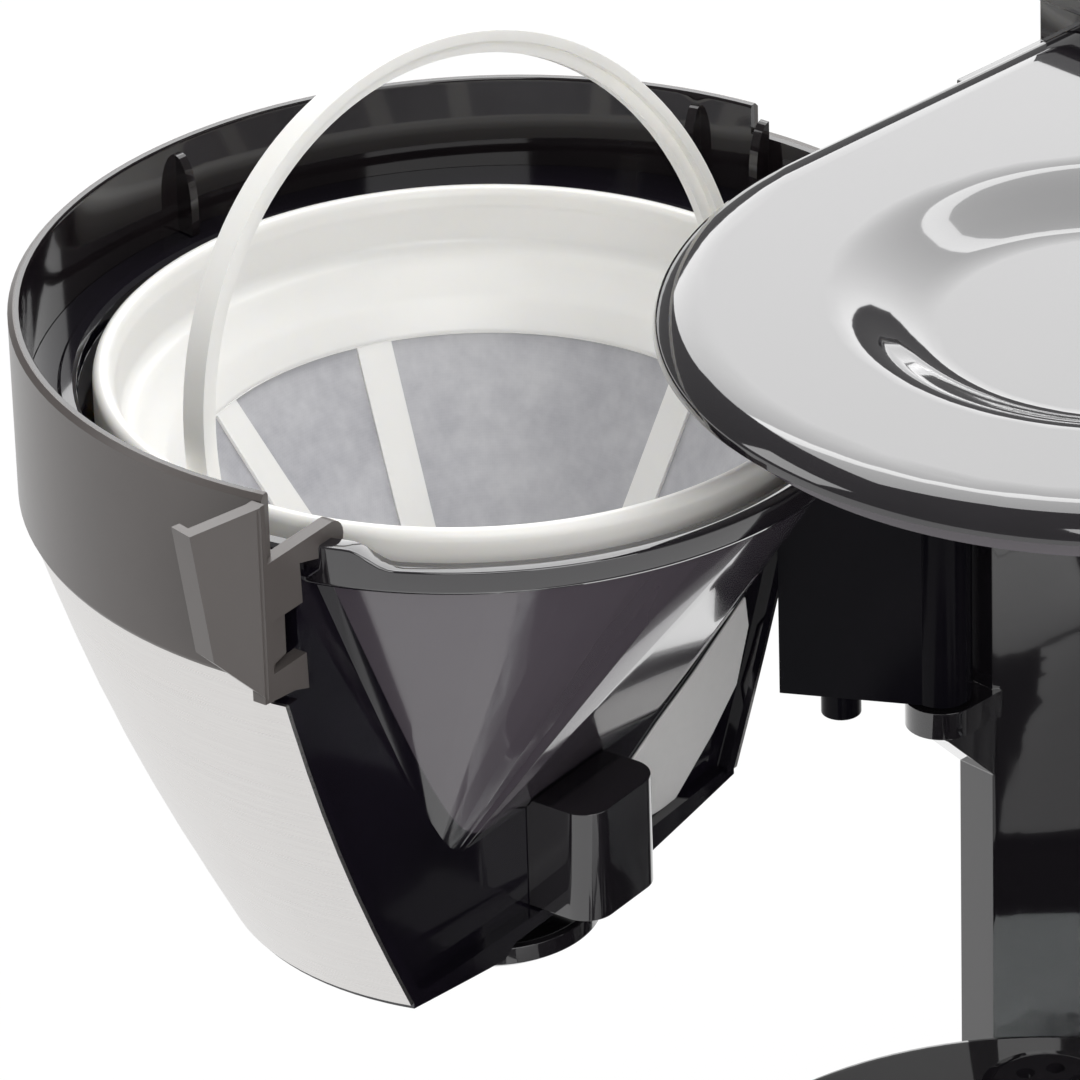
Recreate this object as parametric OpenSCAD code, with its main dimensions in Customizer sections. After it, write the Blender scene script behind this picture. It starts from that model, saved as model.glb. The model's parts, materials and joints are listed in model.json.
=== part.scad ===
// Drip coffee maker with a swing-out filter basket.
// Millimetres, +Z up, -Y is the front. The origin is where the brew axis meets the standing surface.
// Everything on the basket is drawn as it lies when shut, then turned about its hinge.

/* [Base] */
// Radius of the round front of the base, and half its width
base_r = 77; // [72:0.5:86]
// Height of the deck above the standing surface
deck_h = 42; // [38:1:60]
// Distance from the brew axis to the back of the machine
back_y = 126; // [120:1:150]
// Radius of the upright corners at the back
corner_r = 16; // [10:1:22]
// Wall of the housings
wall = 2.5; // [2:0.1:3.2]
// Height of the rubber feet
foot_h = 3; // [2:0.5:6]
// Radius of the hotplate
plate_r = 58; // [52:0.5:60]

/* [Column and head] */
// Half the width of the column
col_w = 75.5; // [74:0.5:80]
// Distance from the brew axis to the column's two front edges
col_front = 43; // [42:0.5:50]
// Radius of the hollow front of the column, about the brew axis
recess_r = 80.5; // [79.5:0.5:82]
// Height from the deck to the foot of the drip stop
bay_h = 142; // [130:1:180]
// Radius of the round top lid
lid_r = 73; // [70:0.5:74]
// Height of the top lid's edge above the basket's rim
lid_rise = 11.5; // [10.5:0.5:14]
// Radius of the dish pressed into the lid
dish_r = 47; // [35:1:52]
// Depth of that dish
dish_d = 6; // [3:0.5:7]
// Height of the tank's hump above the basket's rim
hump_rise = 20; // [18:1:30]
// Distance from the brew axis to the front of the hump
hump_y = 63; // [60:1:70]

/* [Filter basket] */
// Radius of the band round the basket
band_r = 77; // [76:0.5:77.5]
// Height of the band
band_h = 33; // [26:1:38]
// Height of the basket, from its rim to the foot of the drip stop
basket_h = 118; // [110:1:130]
// Wall of the basket's mouldings
skin_wall = 2.2; // [1.8:0.1:2.6]
// Thickness of the steel cladding
clad_t = 0.8; // [0.5:0.1:1.2]
// Distance of the flat back of the basket from the brew axis
cut_y = 13; // [11:0.5:15]
// Shift of the funnel towards the front
funnel_shift = 5; // [3:0.5:6]
// Radius of the funnel's mouth
funnel_r = 63; // [61:0.5:64]
// Angle that the basket stands open
swing = 81; // [60:1:110]
// Distance of the hinge from the brew axis, sideways
hinge_x = 72.8; // [70:0.2:74]
// Distance of the hinge behind the brew axis
hinge_y = 35.7; // [34:0.1:36]
// Radius of the hinge pin
pin_r = 2.5; // [2:0.1:3]

/* [Permanent filter] */
// Outer radius of the filter's rim
rim_r = 59; // [56:0.5:59]
// Depth of the filter below its rim
filter_d = 70; // [60:1:74]
// Half the angle between the two ribs of each long side
rib_spread = 20; // [14:1:30]
// Turn of the filter and its bail against the flat back
filter_turn = 12.5; // [0:0.5:20]
// Lean of the bail from upright, towards the front
bail_lean = 13; // [0:1:20]

/* [Jug] */
// Radius of the jug's belly
belly_r = 66; // [60:0.5:68]
// Radius of the jug's lid
jug_lid_r = 62; // [56:0.5:66]
// Height of the jug's glass above the hotplate
jug_h = 105; // [95:1:110]
// Wall of the glass
glass_t = 2.4; // [1.8:0.1:3]
// How far the jug stands forward of the brew axis
jug_fwd = 18; // [0:1:22]

/* [Fits] */
// Radial clearance of a turning pin
run_fit = 0.05; // [0.02:0.01:0.1]
// Gap between pieces that move past each other
gap = 0.5; // [0.3:0.05:0.8]

/* [Hidden] */
$fn = 96;

brim_z = deck_h + bay_h + basket_h;      // top of the basket's band
tray_z = brim_z + 2;                     // underside of the head
tray_t = 4;
hump_z = brim_z + hump_rise;             // top of the tank's hump
plate_z = deck_h + 3;                    // where the jug stands
tray_r = lid_r - 5;
hinge = [-hinge_x, hinge_y];
foot_at = [for (s = [-1, 1], y = [-40, back_y - 22]) [s * (base_r - 22), y]];
screw_at = [for (s = [-1, 1], y = [-8, back_y - 40]) [s * (base_r - 8), y]];

// Arc of points, for a rounded stretch of an outline
function arc(x, y, r, a0, a1, n = 8) = [for (i = [0:n]) let (a = a0 + (a1 - a0) * i / n)
    [x + r * cos(a), y + r * sin(a)]];

// Plan of the base and the head: a round front and a square back with round corners
module pod2d(r, back, corner) {
    intersection() {
        circle(r = r);
        translate([-r, -r]) square([2 * r, r]);
    }
    translate([-r, 0]) square([2 * r, back - corner]);
    translate([corner - r, 0]) square([2 * (r - corner), back]);
    for (s = [-1, 1]) translate([s * (r - corner), back - corner]) circle(r = corner);
}

// A profile of radius and height, turned round the front and drawn straight to the back
module pod(profile, back) {
    rotate([0, 0, 180]) rotate_extrude(angle = 180) polygon(profile);
    translate([0, back, 0]) rotate([90, 0, 0]) linear_extrude(back) {
        polygon(profile);
        mirror([1, 0]) polygon(profile);
    }
}

// Puts what is drawn with the basket shut where it stands when open, at the height of the rim
module on_basket() {
    translate([hinge[0], hinge[1], brim_z]) rotate([0, 0, -swing])
        translate([-hinge[0], -hinge[1], 0]) children();
}

// ---------------------------------------------------------------- base

base_edge = 5;
base_profile = concat([[0, foot_h], [base_r - 1.5, foot_h], [base_r, foot_h + 1.5]],
    arc(base_r - base_edge, deck_h - base_edge, base_edge, 0, 90), [[0, deck_h]]);
deck_t = 2.5;
deck_hole_r = plate_r - 3;
boss_r = 6;
screw_r = 2;
screw_l = 12;
switch_y = 46;
switch_z = foot_h + (deck_h - foot_h) / 2;
switch_l = 24;
switch_w = 15;
lamp_y = switch_y + 20;
lamp_r = 3;
gland_r = 6;
gland_x = base_r - 31;
gland_z = 18;
service_w = 20;

module base_shell() color("#17171a") difference() {
    union() {
        difference() {
            intersection() {
                pod(base_profile, back_y);
                linear_extrude(deck_h) pod2d(base_r, back_y, corner_r);
            }
            translate([0, 0, foot_h - 1]) linear_extrude(deck_h - deck_t - foot_h + 1)
                pod2d(base_r - wall, back_y - wall, corner_r - wall);
        }
        for (p = screw_at) translate([p[0], p[1], foot_h + wall])
            cylinder(r = boss_r, h = deck_h - deck_t - foot_h);
    }
    translate([0, 0, deck_h - 10]) cylinder(r = deck_hole_r, h = 20);
    translate([0, 0, deck_h - 10]) linear_extrude(20) column2d(wall + 2);
    for (p = screw_at) translate([p[0], p[1], 0]) cylinder(r = screw_r, h = foot_h + screw_l + 2);
    translate([base_r - wall - 1, switch_y - switch_w / 2, switch_z - switch_l / 2])
        cube([wall + 2, switch_w, switch_l]);
    translate([base_r - wall - 1, lamp_y, switch_z]) rotate([0, 90, 0]) cylinder(r = lamp_r, h = wall + 2);
    translate([gland_x, back_y - wall - 1, gland_z]) rotate([-90, 0, 0]) cylinder(r = gland_r, h = wall + 2);
}

module base_cover() color("#202024") difference() {
    translate([0, 0, foot_h]) linear_extrude(wall)
        pod2d(base_r - wall - gap, back_y - wall - gap, corner_r - wall - gap);
    for (p = screw_at) translate([p[0], p[1], 0]) {
        cylinder(r = screw_r + 0.2, h = foot_h + 10);
        cylinder(r = 4.2, h = foot_h + 1.2);
    }
    // slots that let the heat out, under the hotplate
    for (x = [-30:10:30]) translate([x - 1.5, -22, 0]) cube([3, 44, foot_h + 10]);
}

module feet() color("#2b2b2d") for (p = foot_at) translate([p[0], p[1], 0])
    rotate_extrude() polygon([[0, 0], [7.2, 0], [8, 0.8], [9, foot_h], [0, foot_h]]);

module cover_screws() color("silver") for (p = screw_at) translate([p[0], p[1], foot_h])
    rotate_extrude() polygon([[0, 0], [3.2, 0], [3.8, 1.1], [screw_r - 0.1, 1.1],
        [screw_r - 0.1, screw_l - 1], [0, screw_l]]);

module plate_seal() color("#333336") translate([0, 0, deck_h]) difference() {
    cylinder(r = plate_r + 1, h = 1);
    translate([0, 0, -1]) cylinder(r = plate_r - 4, h = 3);
}

module hotplate() color("#3c3c40") translate([0, 0, deck_h + 1]) rotate_extrude()
    polygon(concat([[0, 0], [plate_r, 0]], arc(plate_r - 1, 1, 1, 0, 90, 4),
        [[plate_r - 8, 2], [plate_r - 9, 1.7], [0, 1.7]]));

heater_r = 38;
tube_r = 5.5;
heater_drop = 10.5;          // depth of the heater's tube below the deck
heater_z = deck_h - heater_drop;
leg_a = 52;
leg_x = heater_r * cos(leg_a);
leg_y = heater_r * sin(leg_a);
leg_end = 66;
hose_t = 2;

module heater() color("#b9bcc0") {
    difference() {
        union() {
            rotate([0, 0, 180 - leg_a]) rotate_extrude(angle = 180 + 2 * leg_a) {
                translate([heater_r, heater_z]) circle(r = tube_r);
                translate([heater_r - 4, heater_z]) square([8, deck_h + 1 - heater_z]);
            }
            for (s = [-1, 1]) translate([s * leg_x, leg_y - 2, heater_z]) rotate([-90, 0, 0])
                cylinder(r = tube_r, h = leg_end - leg_y + 2);
        }
        for (s = [-1, 1]) translate([s * leg_x, leg_y + 6, heater_z]) rotate([-90, 0, 0])
            cylinder(r = tube_r - 1.5, h = leg_end);
    }
}

module thermostat() color("#d8d2c4") translate([0, heater_r * -1, heater_z - tube_r - 8]) {
    cylinder(r = 8, h = 8);
    for (s = [-1, 1]) translate([s * 10 - 3, -0.4, 2]) cube([6, 0.8, 3]);
}

// A hose pushed over a spigot: straight run, elbow, upright run
module hose(run, bend, rise) {
    rotate([-90, 0, 0]) difference() {
        cylinder(r = tube_r + hose_t, h = run);
        translate([0, 0, -1]) cylinder(r = tube_r + run_fit, h = run + 2);
    }
    translate([0, run, bend]) rotate([90, 0, 90]) rotate([0, 0, -90]) rotate_extrude(angle = 90)
        translate([bend, 0]) difference() { circle(r = tube_r + hose_t); circle(r = tube_r + run_fit); }
    translate([0, run + bend, bend]) difference() {
        cylinder(r = tube_r + hose_t, h = rise);
        translate([0, 0, -1]) cylinder(r = tube_r + run_fit, h = rise + 2);
    }
}

hose_run = 34;
hose_bend = 14;
hose_y = leg_end - 12;
tank_rise = 24;              // height of the tank's floor above the deck
tank_z = deck_h + tank_rise;
leg_z = tank_z - tube_r - gap;           // height of the riser's run under the tank
upright_y = hose_y + hose_run + hose_bend;
module cold_hose() color("#e8e4da") translate([leg_x, hose_y, heater_z])
    hose(hose_run, hose_bend, tank_z - heater_z - hose_bend - 8);
module hot_hose() color("#e8e4da") translate([-leg_x, hose_y, heater_z])
    hose(hose_run, hose_bend, leg_z - tube_r - heater_z - hose_bend);

duct_w = 18;
duct_h = 2.2;
duct_z = tray_z + tray_t;
pipe_r = tube_r - 0.2;
riser_x = col_w - wall - tube_r - 3;
// Spigot in the hose, a run to the side under the tank, and the upright to the head
module riser_tube() color("#cfcfcf") {
    spigot_z = heater_z + hose_bend + 2;
    translate([-leg_x, upright_y, spigot_z]) cylinder(r = pipe_r, h = leg_z - spigot_z);
    for (x = [-leg_x, -riser_x]) translate([x, upright_y, leg_z]) sphere(r = pipe_r);
    translate([-leg_x, upright_y, leg_z]) rotate([0, -90, 0]) cylinder(r = pipe_r, h = riser_x - leg_x);
    translate([-riser_x, upright_y, leg_z]) cylinder(r = pipe_r, h = duct_z - leg_z);
}

module check_valve() color("#e3e3e3") translate([leg_x, upright_y, tank_z - 22]) difference() {
    cylinder(r = pipe_r, h = 22);
    translate([0, 0, -1]) cylinder(r = 2.5, h = 24);
}

module cord_gland() color("#141416") translate([gland_x, back_y + 2, gland_z]) rotate([90, 0, 0])
    difference() {
    union() {
        cylinder(r = gland_r + 2.5, h = 2);
        cylinder(r = gland_r - 0.2, h = 9);
    }
    translate([0, 0, -1]) cylinder(r = 3.2, h = 12);
}

module switch_bezel() color("#0f0f11") translate([base_r, switch_y, switch_z]) difference() {
    union() {
        translate([0, -switch_w / 2 - 2, -switch_l / 2 - 2]) cube([1.6, switch_w + 4, switch_l + 4]);
        translate([-9, -switch_w / 2 + 0.2, -switch_l / 2 + 0.2]) cube([9.5, switch_w - 0.4, switch_l - 0.4]);
    }
    translate([-7.5, -switch_w / 2 + 1.6, -switch_l / 2 + 1.6]) cube([12, switch_w - 3.2, switch_l - 3.2]);
    translate([-3, -switch_w, 0]) rotate([-90, 0, 0]) cylinder(r = 1 + run_fit, h = 2 * switch_w);
}

rocker_tilt = 7;
module rocker() color("#2a2a2e") translate([base_r - 3, switch_y, switch_z]) rotate([0, rocker_tilt, 0]) {
    half = switch_l / 2 - 2.4;
    width = switch_w - 4.4;
    translate([0, width / 2, 0]) rotate([90, 0, 0]) linear_extrude(width)
        polygon([[-2, 2.5], [-2, -2.5], [2.2, -half], [4.8, -half], [4, 0], [4.8, half], [2.2, half]]);
    translate([0, -switch_w / 2 + 0.5, 0]) rotate([-90, 0, 0]) cylinder(r = 1, h = switch_w - 1);
}

module lamp_lens() color("#c8442c") translate([base_r - wall - 2, lamp_y, switch_z]) rotate([0, 90, 0])
    rotate_extrude() polygon([[0, 0], [lamp_r - 0.1, 0], [lamp_r - 0.1, wall + 2], [lamp_r + 1, wall + 2],
        [lamp_r + 0.4, wall + 3], [0, wall + 3.4]]);

// ---------------------------------------------------------------- column and head

// Plan of the column: straight sides, round back corners, a front hollowed about the brew axis
module column2d(inset = 0) difference() {
    intersection() {
        pod2d(col_w - inset, back_y - inset, max(corner_r - inset, 2));
        translate([-col_w, col_front + inset]) square([2 * col_w, back_y]);
    }
    circle(r = recess_r + inset);
}

ear_r = 6.2;
arm_low = 98;                // depth of the arm's foot below the rim
ear_t = 5;
flap_y = back_y - 7;
flap_r = 3.6;
flap_z = hump_z + flap_r + gap;
flap_w = 104;
flap_ear = 6;

// Plan of the hump over the tank, behind the head
module hump2d(inset = 0) intersection() {
    pod2d(col_w - inset, back_y - inset, max(corner_r - inset, 2));
    translate([-col_w, hump_y + inset]) square([2 * col_w, back_y]);
}

module rear_housing() color("#141417") {
    difference() {
        translate([0, 0, deck_h]) linear_extrude(tray_z - deck_h) column2d();
        translate([0, 0, deck_h - 1]) linear_extrude(tray_z - deck_h + 2) column2d(wall);
    }
    // lower ear of the basket's hinge, with the gusset that carries it
    translate([0, 0, brim_z - arm_low - gap - ear_t]) difference() {
        linear_extrude(ear_t) {
            translate(hinge) circle(r = ear_r);
            translate([-col_w, hinge[1]]) square([col_w + hinge[0] + ear_r, col_front - hinge[1] + 1]);
        }
        translate([hinge[0], hinge[1], -1]) cylinder(r = pin_r + 0.02, h = ear_t + 2);
    }
    translate([-col_w, col_front + 0.5, brim_z - arm_low - gap - ear_t]) rotate([0, 90, 0])
        linear_extrude(ear_r * 1.3) polygon([[0, 0], [0, -12], [12, 0]]);
}

// Upper moulding: the walls and the shelf round the tank's mouth, and the cheeks beside the lid
module hump_shell() color("#141417") {
    cheek_h = brim_z + lid_rise + 0.8 - tray_z;
    difference() {
        union() {
            translate([0, 0, tray_z]) linear_extrude(hump_z - tray_z) hump2d();
            translate([0, 0, tray_z]) linear_extrude(cheek_h) intersection() {
                column2d();
                translate([-col_w, 0]) square([2 * col_w, hump_y + 1]);
            }
        }
        translate([-col_w + wall, 0, tray_z - 1]) cube([2 * (col_w - wall), hump_y, hump_rise + 2]);
        translate([0, 0, tray_z + wall]) linear_extrude(hump_rise) difference() {
            hump2d(wall);
            // strip behind the flap
            translate([-col_w, flap_y - 6]) square([2 * col_w, back_y]);
        }
        translate([0, 0, tray_z + wall]) linear_extrude(hump_z - tray_z - 2 * wall) hump2d(wall);
        translate([0, 0, tray_z - 1]) linear_extrude(wall + 2) column2d(wall);
        // slot for the duct from the riser
        duct_path(gap) square([2 * hump_y, duct_w + 2 * gap], center = true);
    }
    // ears of the flap's hinge
    for (s = [-1, 1]) translate([s * (flap_w / 2 + flap_ear / 2 + gap), flap_y, 0]) difference() {
        translate([-flap_ear / 2, 0, 0]) rotate([90, 0, 90]) linear_extrude(flap_ear) {
            translate([0, flap_z]) circle(r = flap_r);
            translate([-flap_r, hump_z - 0.5]) square([2 * flap_r, flap_z - hump_z + 0.5]);
        }
        translate([-flap_ear, 0, flap_z]) rotate([0, 90, 0]) cylinder(r = 1.5, h = 2 * flap_ear);
    }
}

tank_left = -col_w + wall + service_w;
module tank2d(inset) intersection() {
    column2d(wall + gap + inset);
    translate([tank_left + inset, 0]) square([2 * col_w, 2 * back_y]);
}
module tank() color("#8f949a") difference() {
    translate([0, 0, tank_z]) linear_extrude(tray_z - gap - tank_z) tank2d(0);
    translate([0, 0, tank_z + 2]) linear_extrude(tray_z) tank2d(1.8);
    translate([leg_x, upright_y, tank_z - 1]) cylinder(r = 3, h = 5);
}

tray_rise = 5;               // how far the tray's underside rises towards its edge
tray_flat = 42;
edge_z = tray_z + tray_rise + 2;
module head_tray() color("#1b1b1f") difference() {
    union() {
        pod([[0, tray_z], [tray_flat, tray_z], [tray_r, tray_z + tray_rise], [tray_r, edge_z],
            [tray_r - 2, edge_z], [tray_flat, duct_z], [0, duct_z]], hump_y - gap);
        // upper ear of the basket's hinge
        translate([0, 0, tray_z]) linear_extrude(tray_t) {
            translate(hinge) circle(r = ear_r - 1);
            translate([hinge[0], hinge[1] - ear_r + 1]) square([2 * ear_r, 2 * ear_r - 2]);
        }
    }
    translate([0, 0, tray_z - 1]) cylinder(r = spray_r + 0.1, h = tray_t + 2);
    translate([hinge[0], hinge[1], tray_z - 1]) cylinder(r = pin_r + 0.02, h = tray_t + 2);
    duct_path(0.1) square([2 * hump_y, duct_w + 0.2], center = true);
}

spray_r = 28;
module spray_head() color("#26262a") translate([0, 0, tray_z]) difference() {
    cylinder(r = spray_r, h = tray_t);
    translate([0, 0, 1.6]) cylinder(r = spray_r - 3, h = tray_t);
    for (ring = [0:2], i = [0:(ring == 0 ? 0 : 6 * ring - 1)]) rotate([0, 0, i * 60 / max(ring, 1)])
        translate([ring * 9, 0, -1]) cylinder(r = 1.3, h = 5);
}

// Extrudes a plan along the line from the brew axis to the riser, with some room above and below
module duct_path(room) translate([0, 0, duct_z - room]) rotate([0, 0, atan2(upright_y, -riser_x)])
    translate([hump_y, 0, 0]) linear_extrude(duct_h + 2 * room) children();

module feed_duct() color("#2b2b30") difference() {
    union() {
        translate([0, 0, duct_z]) rotate([0, 0, atan2(upright_y, -riser_x)]) translate([0, -duct_w / 2, 0])
            cube([norm([riser_x, upright_y]), duct_w, duct_h]);
        translate([0, 0, duct_z]) cylinder(r = spray_r - 2, h = duct_h);
        translate([-riser_x, upright_y, duct_z - 8]) cylinder(r = tube_r + 2, h = 8 + duct_h);
    }
    translate([-riser_x, upright_y, duct_z - 9]) cylinder(r = pipe_r + 0.02, h = 9);
}

// Lid: a rim that rolls over, a flat land, and a dish in the middle
lid_t = 2;
lid_top = brim_z + lid_rise + 5;
lid_edge = 8.5;
dish_wall = 18;
lid_outer = concat([[tray_r - 1, lid_top - 5.5], [lid_r, lid_top - 5]],
    [for (i = [1:8]) let (a = i * 90 / 8) [lid_r - lid_edge * (1 - cos(a)), lid_top - 5 + 5 * sin(a)]]);
function dish_curve(off) = [for (i = [0:12]) let (u = i / 12)
    [dish_r - dish_wall * u, lid_top - off - dish_d * (1 - cos(180 * u)) / 2]];

module top_lid() color("#0d0d10") {
    difference() {
        pod(concat([[0, lid_top - lid_t], [lid_r - lid_edge - 1, lid_top - lid_t],
            [tray_r - 3, lid_top - 5.5]], lid_outer, [[0, lid_top]]), hump_y - gap);
        translate([0, 0, brim_z]) cylinder(r = dish_r, h = 60);
    }
    rotate_extrude() polygon(concat([[0, lid_top - dish_d]], [for (i = [12:-1:0]) dish_curve(0)[i]],
        [[dish_r + 1, lid_top], [dish_r + 1, lid_top - lid_t]], dish_curve(lid_t),
        [[0, lid_top - dish_d - lid_t]]));
    // seat that stands on the tray's edge
    translate([0, 0, edge_z]) linear_extrude(lid_top - lid_t + 0.5 - edge_z) difference() {
        pod2d(tray_r, hump_y - gap, 4);
        pod2d(tray_r - 2, hump_y - gap + 4, 2);
    }
}

module hinge_pin() color("silver") translate([hinge[0], hinge[1], brim_z - arm_low - gap - ear_t])
    cylinder(r = pin_r, h = arm_low + gap + ear_t + tray_z + tray_t - brim_z);

module tank_flap() color("#0d0d10") {
    t = 3;
    difference() {
        union() {
            intersection() {
                translate([0, 0, hump_z + gap]) linear_extrude(t) pod2d(col_w, back_y, corner_r);
                translate([-col_w, hump_y - 2, hump_z]) cube([2 * col_w, flap_y - hump_y + 2, 20]);
            }
            translate([-flap_w / 2, flap_y, flap_z]) rotate([0, 90, 0]) cylinder(r = flap_r, h = flap_w);
            // finger lip at the front
            translate([-22, hump_y - 7, hump_z + gap]) cube([44, 6, t]);
        }
        translate([-flap_w, flap_y, flap_z]) rotate([0, 90, 0]) cylinder(r = 1.5 + run_fit, h = 2 * flap_w);
        for (s = [-1, 1]) translate([s > 0 ? flap_w / 2 : -col_w - 1, flap_y - flap_r - gap, hump_z])
            cube([col_w - flap_w / 2 + 1, 20, 20]);
    }
}

module flap_pin() color("silver") translate([-flap_w / 2 - flap_ear, flap_y, flap_z]) rotate([0, 90, 0])
    cylinder(r = 1.5, h = flap_w + 2 * flap_ear);

// ---------------------------------------------------------------- filter basket, drawn shut

rim_z = -13.2;               // top of the filter's rim
clad_top = band_h;
clad_low = basket_h - 12;      // depth of the cladding's lower edge
// Radius of the cladding's outside at a depth below the rim: a cone that swells a little
function clad_r(d) = let (u = (d - clad_top) / (clad_low - clad_top))
    band_r - 0.8 - 27 * u - 2 * u * u + 1.6 * sin(180 * u);
clad_steps = 8;
clad_depths = [for (i = [0:clad_steps]) clad_top + (clad_low - clad_top) * i / clad_steps];

// Half space in front of the basket's flat back
module front_half() translate([-100, -100, -200]) cube([200, 100 + cut_y, 300]);

// Room for the end plate of the band
module plate_room() translate([band_r - 10.2, back_at - 0.02, -band_h - 4 - gap]) cube([12, back_in + 1, 40]);

module cladding() color("#c9c6c2") difference() {
    intersection() {
        rotate_extrude() polygon(concat([for (d = clad_depths) [clad_r(d), -d]],
            [for (i = [clad_steps:-1:0]) [clad_r(clad_depths[i]) - clad_t, -clad_depths[i]]]));
        front_half();
    }
    plate_room();
}

back_in = 2.5;               // depth of the flat back behind the edges round it
back_at = cut_y - back_in;
near_a = asin((cut_y - 1) / band_r);
far_a = 194;                 // where the band ends, and where it steps down
step_a = 178;
step_d = 5;
plate_t = 2.4;
bend_x = band_r + 1.5;       // where the tab leans back from the plate
hook_x = 57.5;
hook_r = 3;
hook_z = -11.2;
notch_z = [-21.6, -30.6];    // window for the catch
tab_w = 13;
tab_lean = 14;
tab_turn = 4.5;
fin_at = [-100, -170, -180];
fin_t = 1.6;
fin_out = 3.5;
// Plate at the band's near end: a hook towards the filter, a window for the catch, and a finger tab
module end_plate() translate([0, cut_y, 0]) {
    rotate([90, 0, 0]) linear_extrude(plate_t) difference() {
        polygon(concat([[bend_x, -0.8], [band_r - 0.5, -0.8], [band_r - 0.5, hook_z]],
            arc(hook_x + hook_r, hook_z - hook_r, hook_r, 90, 200, 6),
            [[hook_x + 2, hook_z - 6], [band_r - 8.4, hook_z - 3.4], [band_r - 9.4, -band_h - 4],
            [band_r - 6, -band_h - 2.8], [bend_x, -band_h - 1.9]]));
        translate([band_r - 20, notch_z[1]]) square([19, notch_z[0] - notch_z[1]]);
    }
    translate([bend_x - 0.2, 0, 0]) rotate([0, 0, -tab_lean]) rotate([90, 0, 0]) {
        linear_extrude(plate_t)
            polygon([[-0.6, -0.8], [tab_w - 1, -0.8], [tab_w - 3.5, -24], [-0.6, -band_h - 1.4]]);
        // its turned edge
        linear_extrude(tab_turn)
            polygon([[tab_w, -0.8], [tab_w - 1.6, -0.8], [tab_w - 5, -25.4], [tab_w - 3.4, -23.8]]);
    }
}

module band() color("#3a3634") {
    ring = [[band_r - skin_wall, -band_h], [band_r - 0.5, -band_h], [band_r, -band_h + 1], [band_r, -0.8],
        [band_r - 0.8, 0], [band_r - skin_wall + 0.4, 0], [band_r - skin_wall, -0.6]];
    // the ring, lower behind its far end
    difference() {
        rotate([0, 0, -far_a]) rotate_extrude(angle = far_a + near_a) polygon(ring);
        rotate([0, 0, -far_a - 1]) rotate_extrude(angle = far_a - step_a + 1)
            translate([band_r - 2 * skin_wall, -step_d]) square([4 * skin_wall, 2 * step_d]);
    }
    end_plate();
    // fins inside the band
    fin_r = band_r - skin_wall;
    for (a = fin_at) rotate([0, 0, a]) translate([0, fin_t / 2, 0]) rotate([90, 0, 0]) linear_extrude(fin_t)
        polygon(concat([[fin_r + 0.3, ledge_z + 0.2], [fin_r + 0.3, -2]],
            [for (i = [0:6]) let (u = 15 * i) [fin_r - fin_out * sin(u), -2 - 9 * (1 - cos(u))]],
            [[fin_r - fin_out, ledge_z + 0.2]]));
}

ledge_z = -16;
lip_z = -18.5;               // foot of the lip round the funnel's mouth
lip_top = -15.2;
lip_t = 3;
lip_raised = 2.2;            // how much higher the lip is beside the hook
seat_z = 20 - basket_h;      // where the drip stop's seal rests
cone_z = seat_z + 2;
cone_foot = 12;
seat_r = 5.5;
throat_r = 9;
outlet_z = 9 - basket_h;
outlet_r = cone_foot + 3;
floor_z = rim_z - filter_d - 1.6;
slot_l = 34;                 // half the length and width of the slot that the funnel narrows to
slot_w = back_at + funnel_shift + 0.4;
slot_corner = 9;
pocket_r = 21.5;             // hollow that the drip stop rises into
// Wall of the moulding behind the cladding
function shell_r(d) = clad_r(d) - clad_t - 0.02;
shell_side = concat([[band_r - skin_wall - 0.1, -band_h - 0.5]], [for (d = clad_depths) [shell_r(d), -d]],
    [[shell_r(clad_low), -clad_low - 1], [pocket_r + 2.5, -clad_low - 4.3], [pocket_r, -clad_low - 2.5]]);

// The funnel's form: a round mouth that narrows to a slot along the flat back
module funnel_form(inset, foot, rise = 0.2) hull() {
    translate([0, -funnel_shift, lip_z]) cylinder(r = funnel_r + skin_wall - inset, h = rise, $fn = 64);
    for (x = [-1, 1], y = [-1, 1])
        translate([x * (slot_l - slot_corner), y * (slot_w - slot_corner) - funnel_shift, foot])
            cylinder(r = slot_corner - inset, h = 0.2, $fn = 32);
}

module lip(low, high) polygon([[funnel_r, low], [funnel_r + lip_t, low], [funnel_r + lip_t, high - 0.6],
    [funnel_r + lip_t - 0.6, high], [funnel_r + 0.6, high], [funnel_r, high - 0.6]]);

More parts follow.
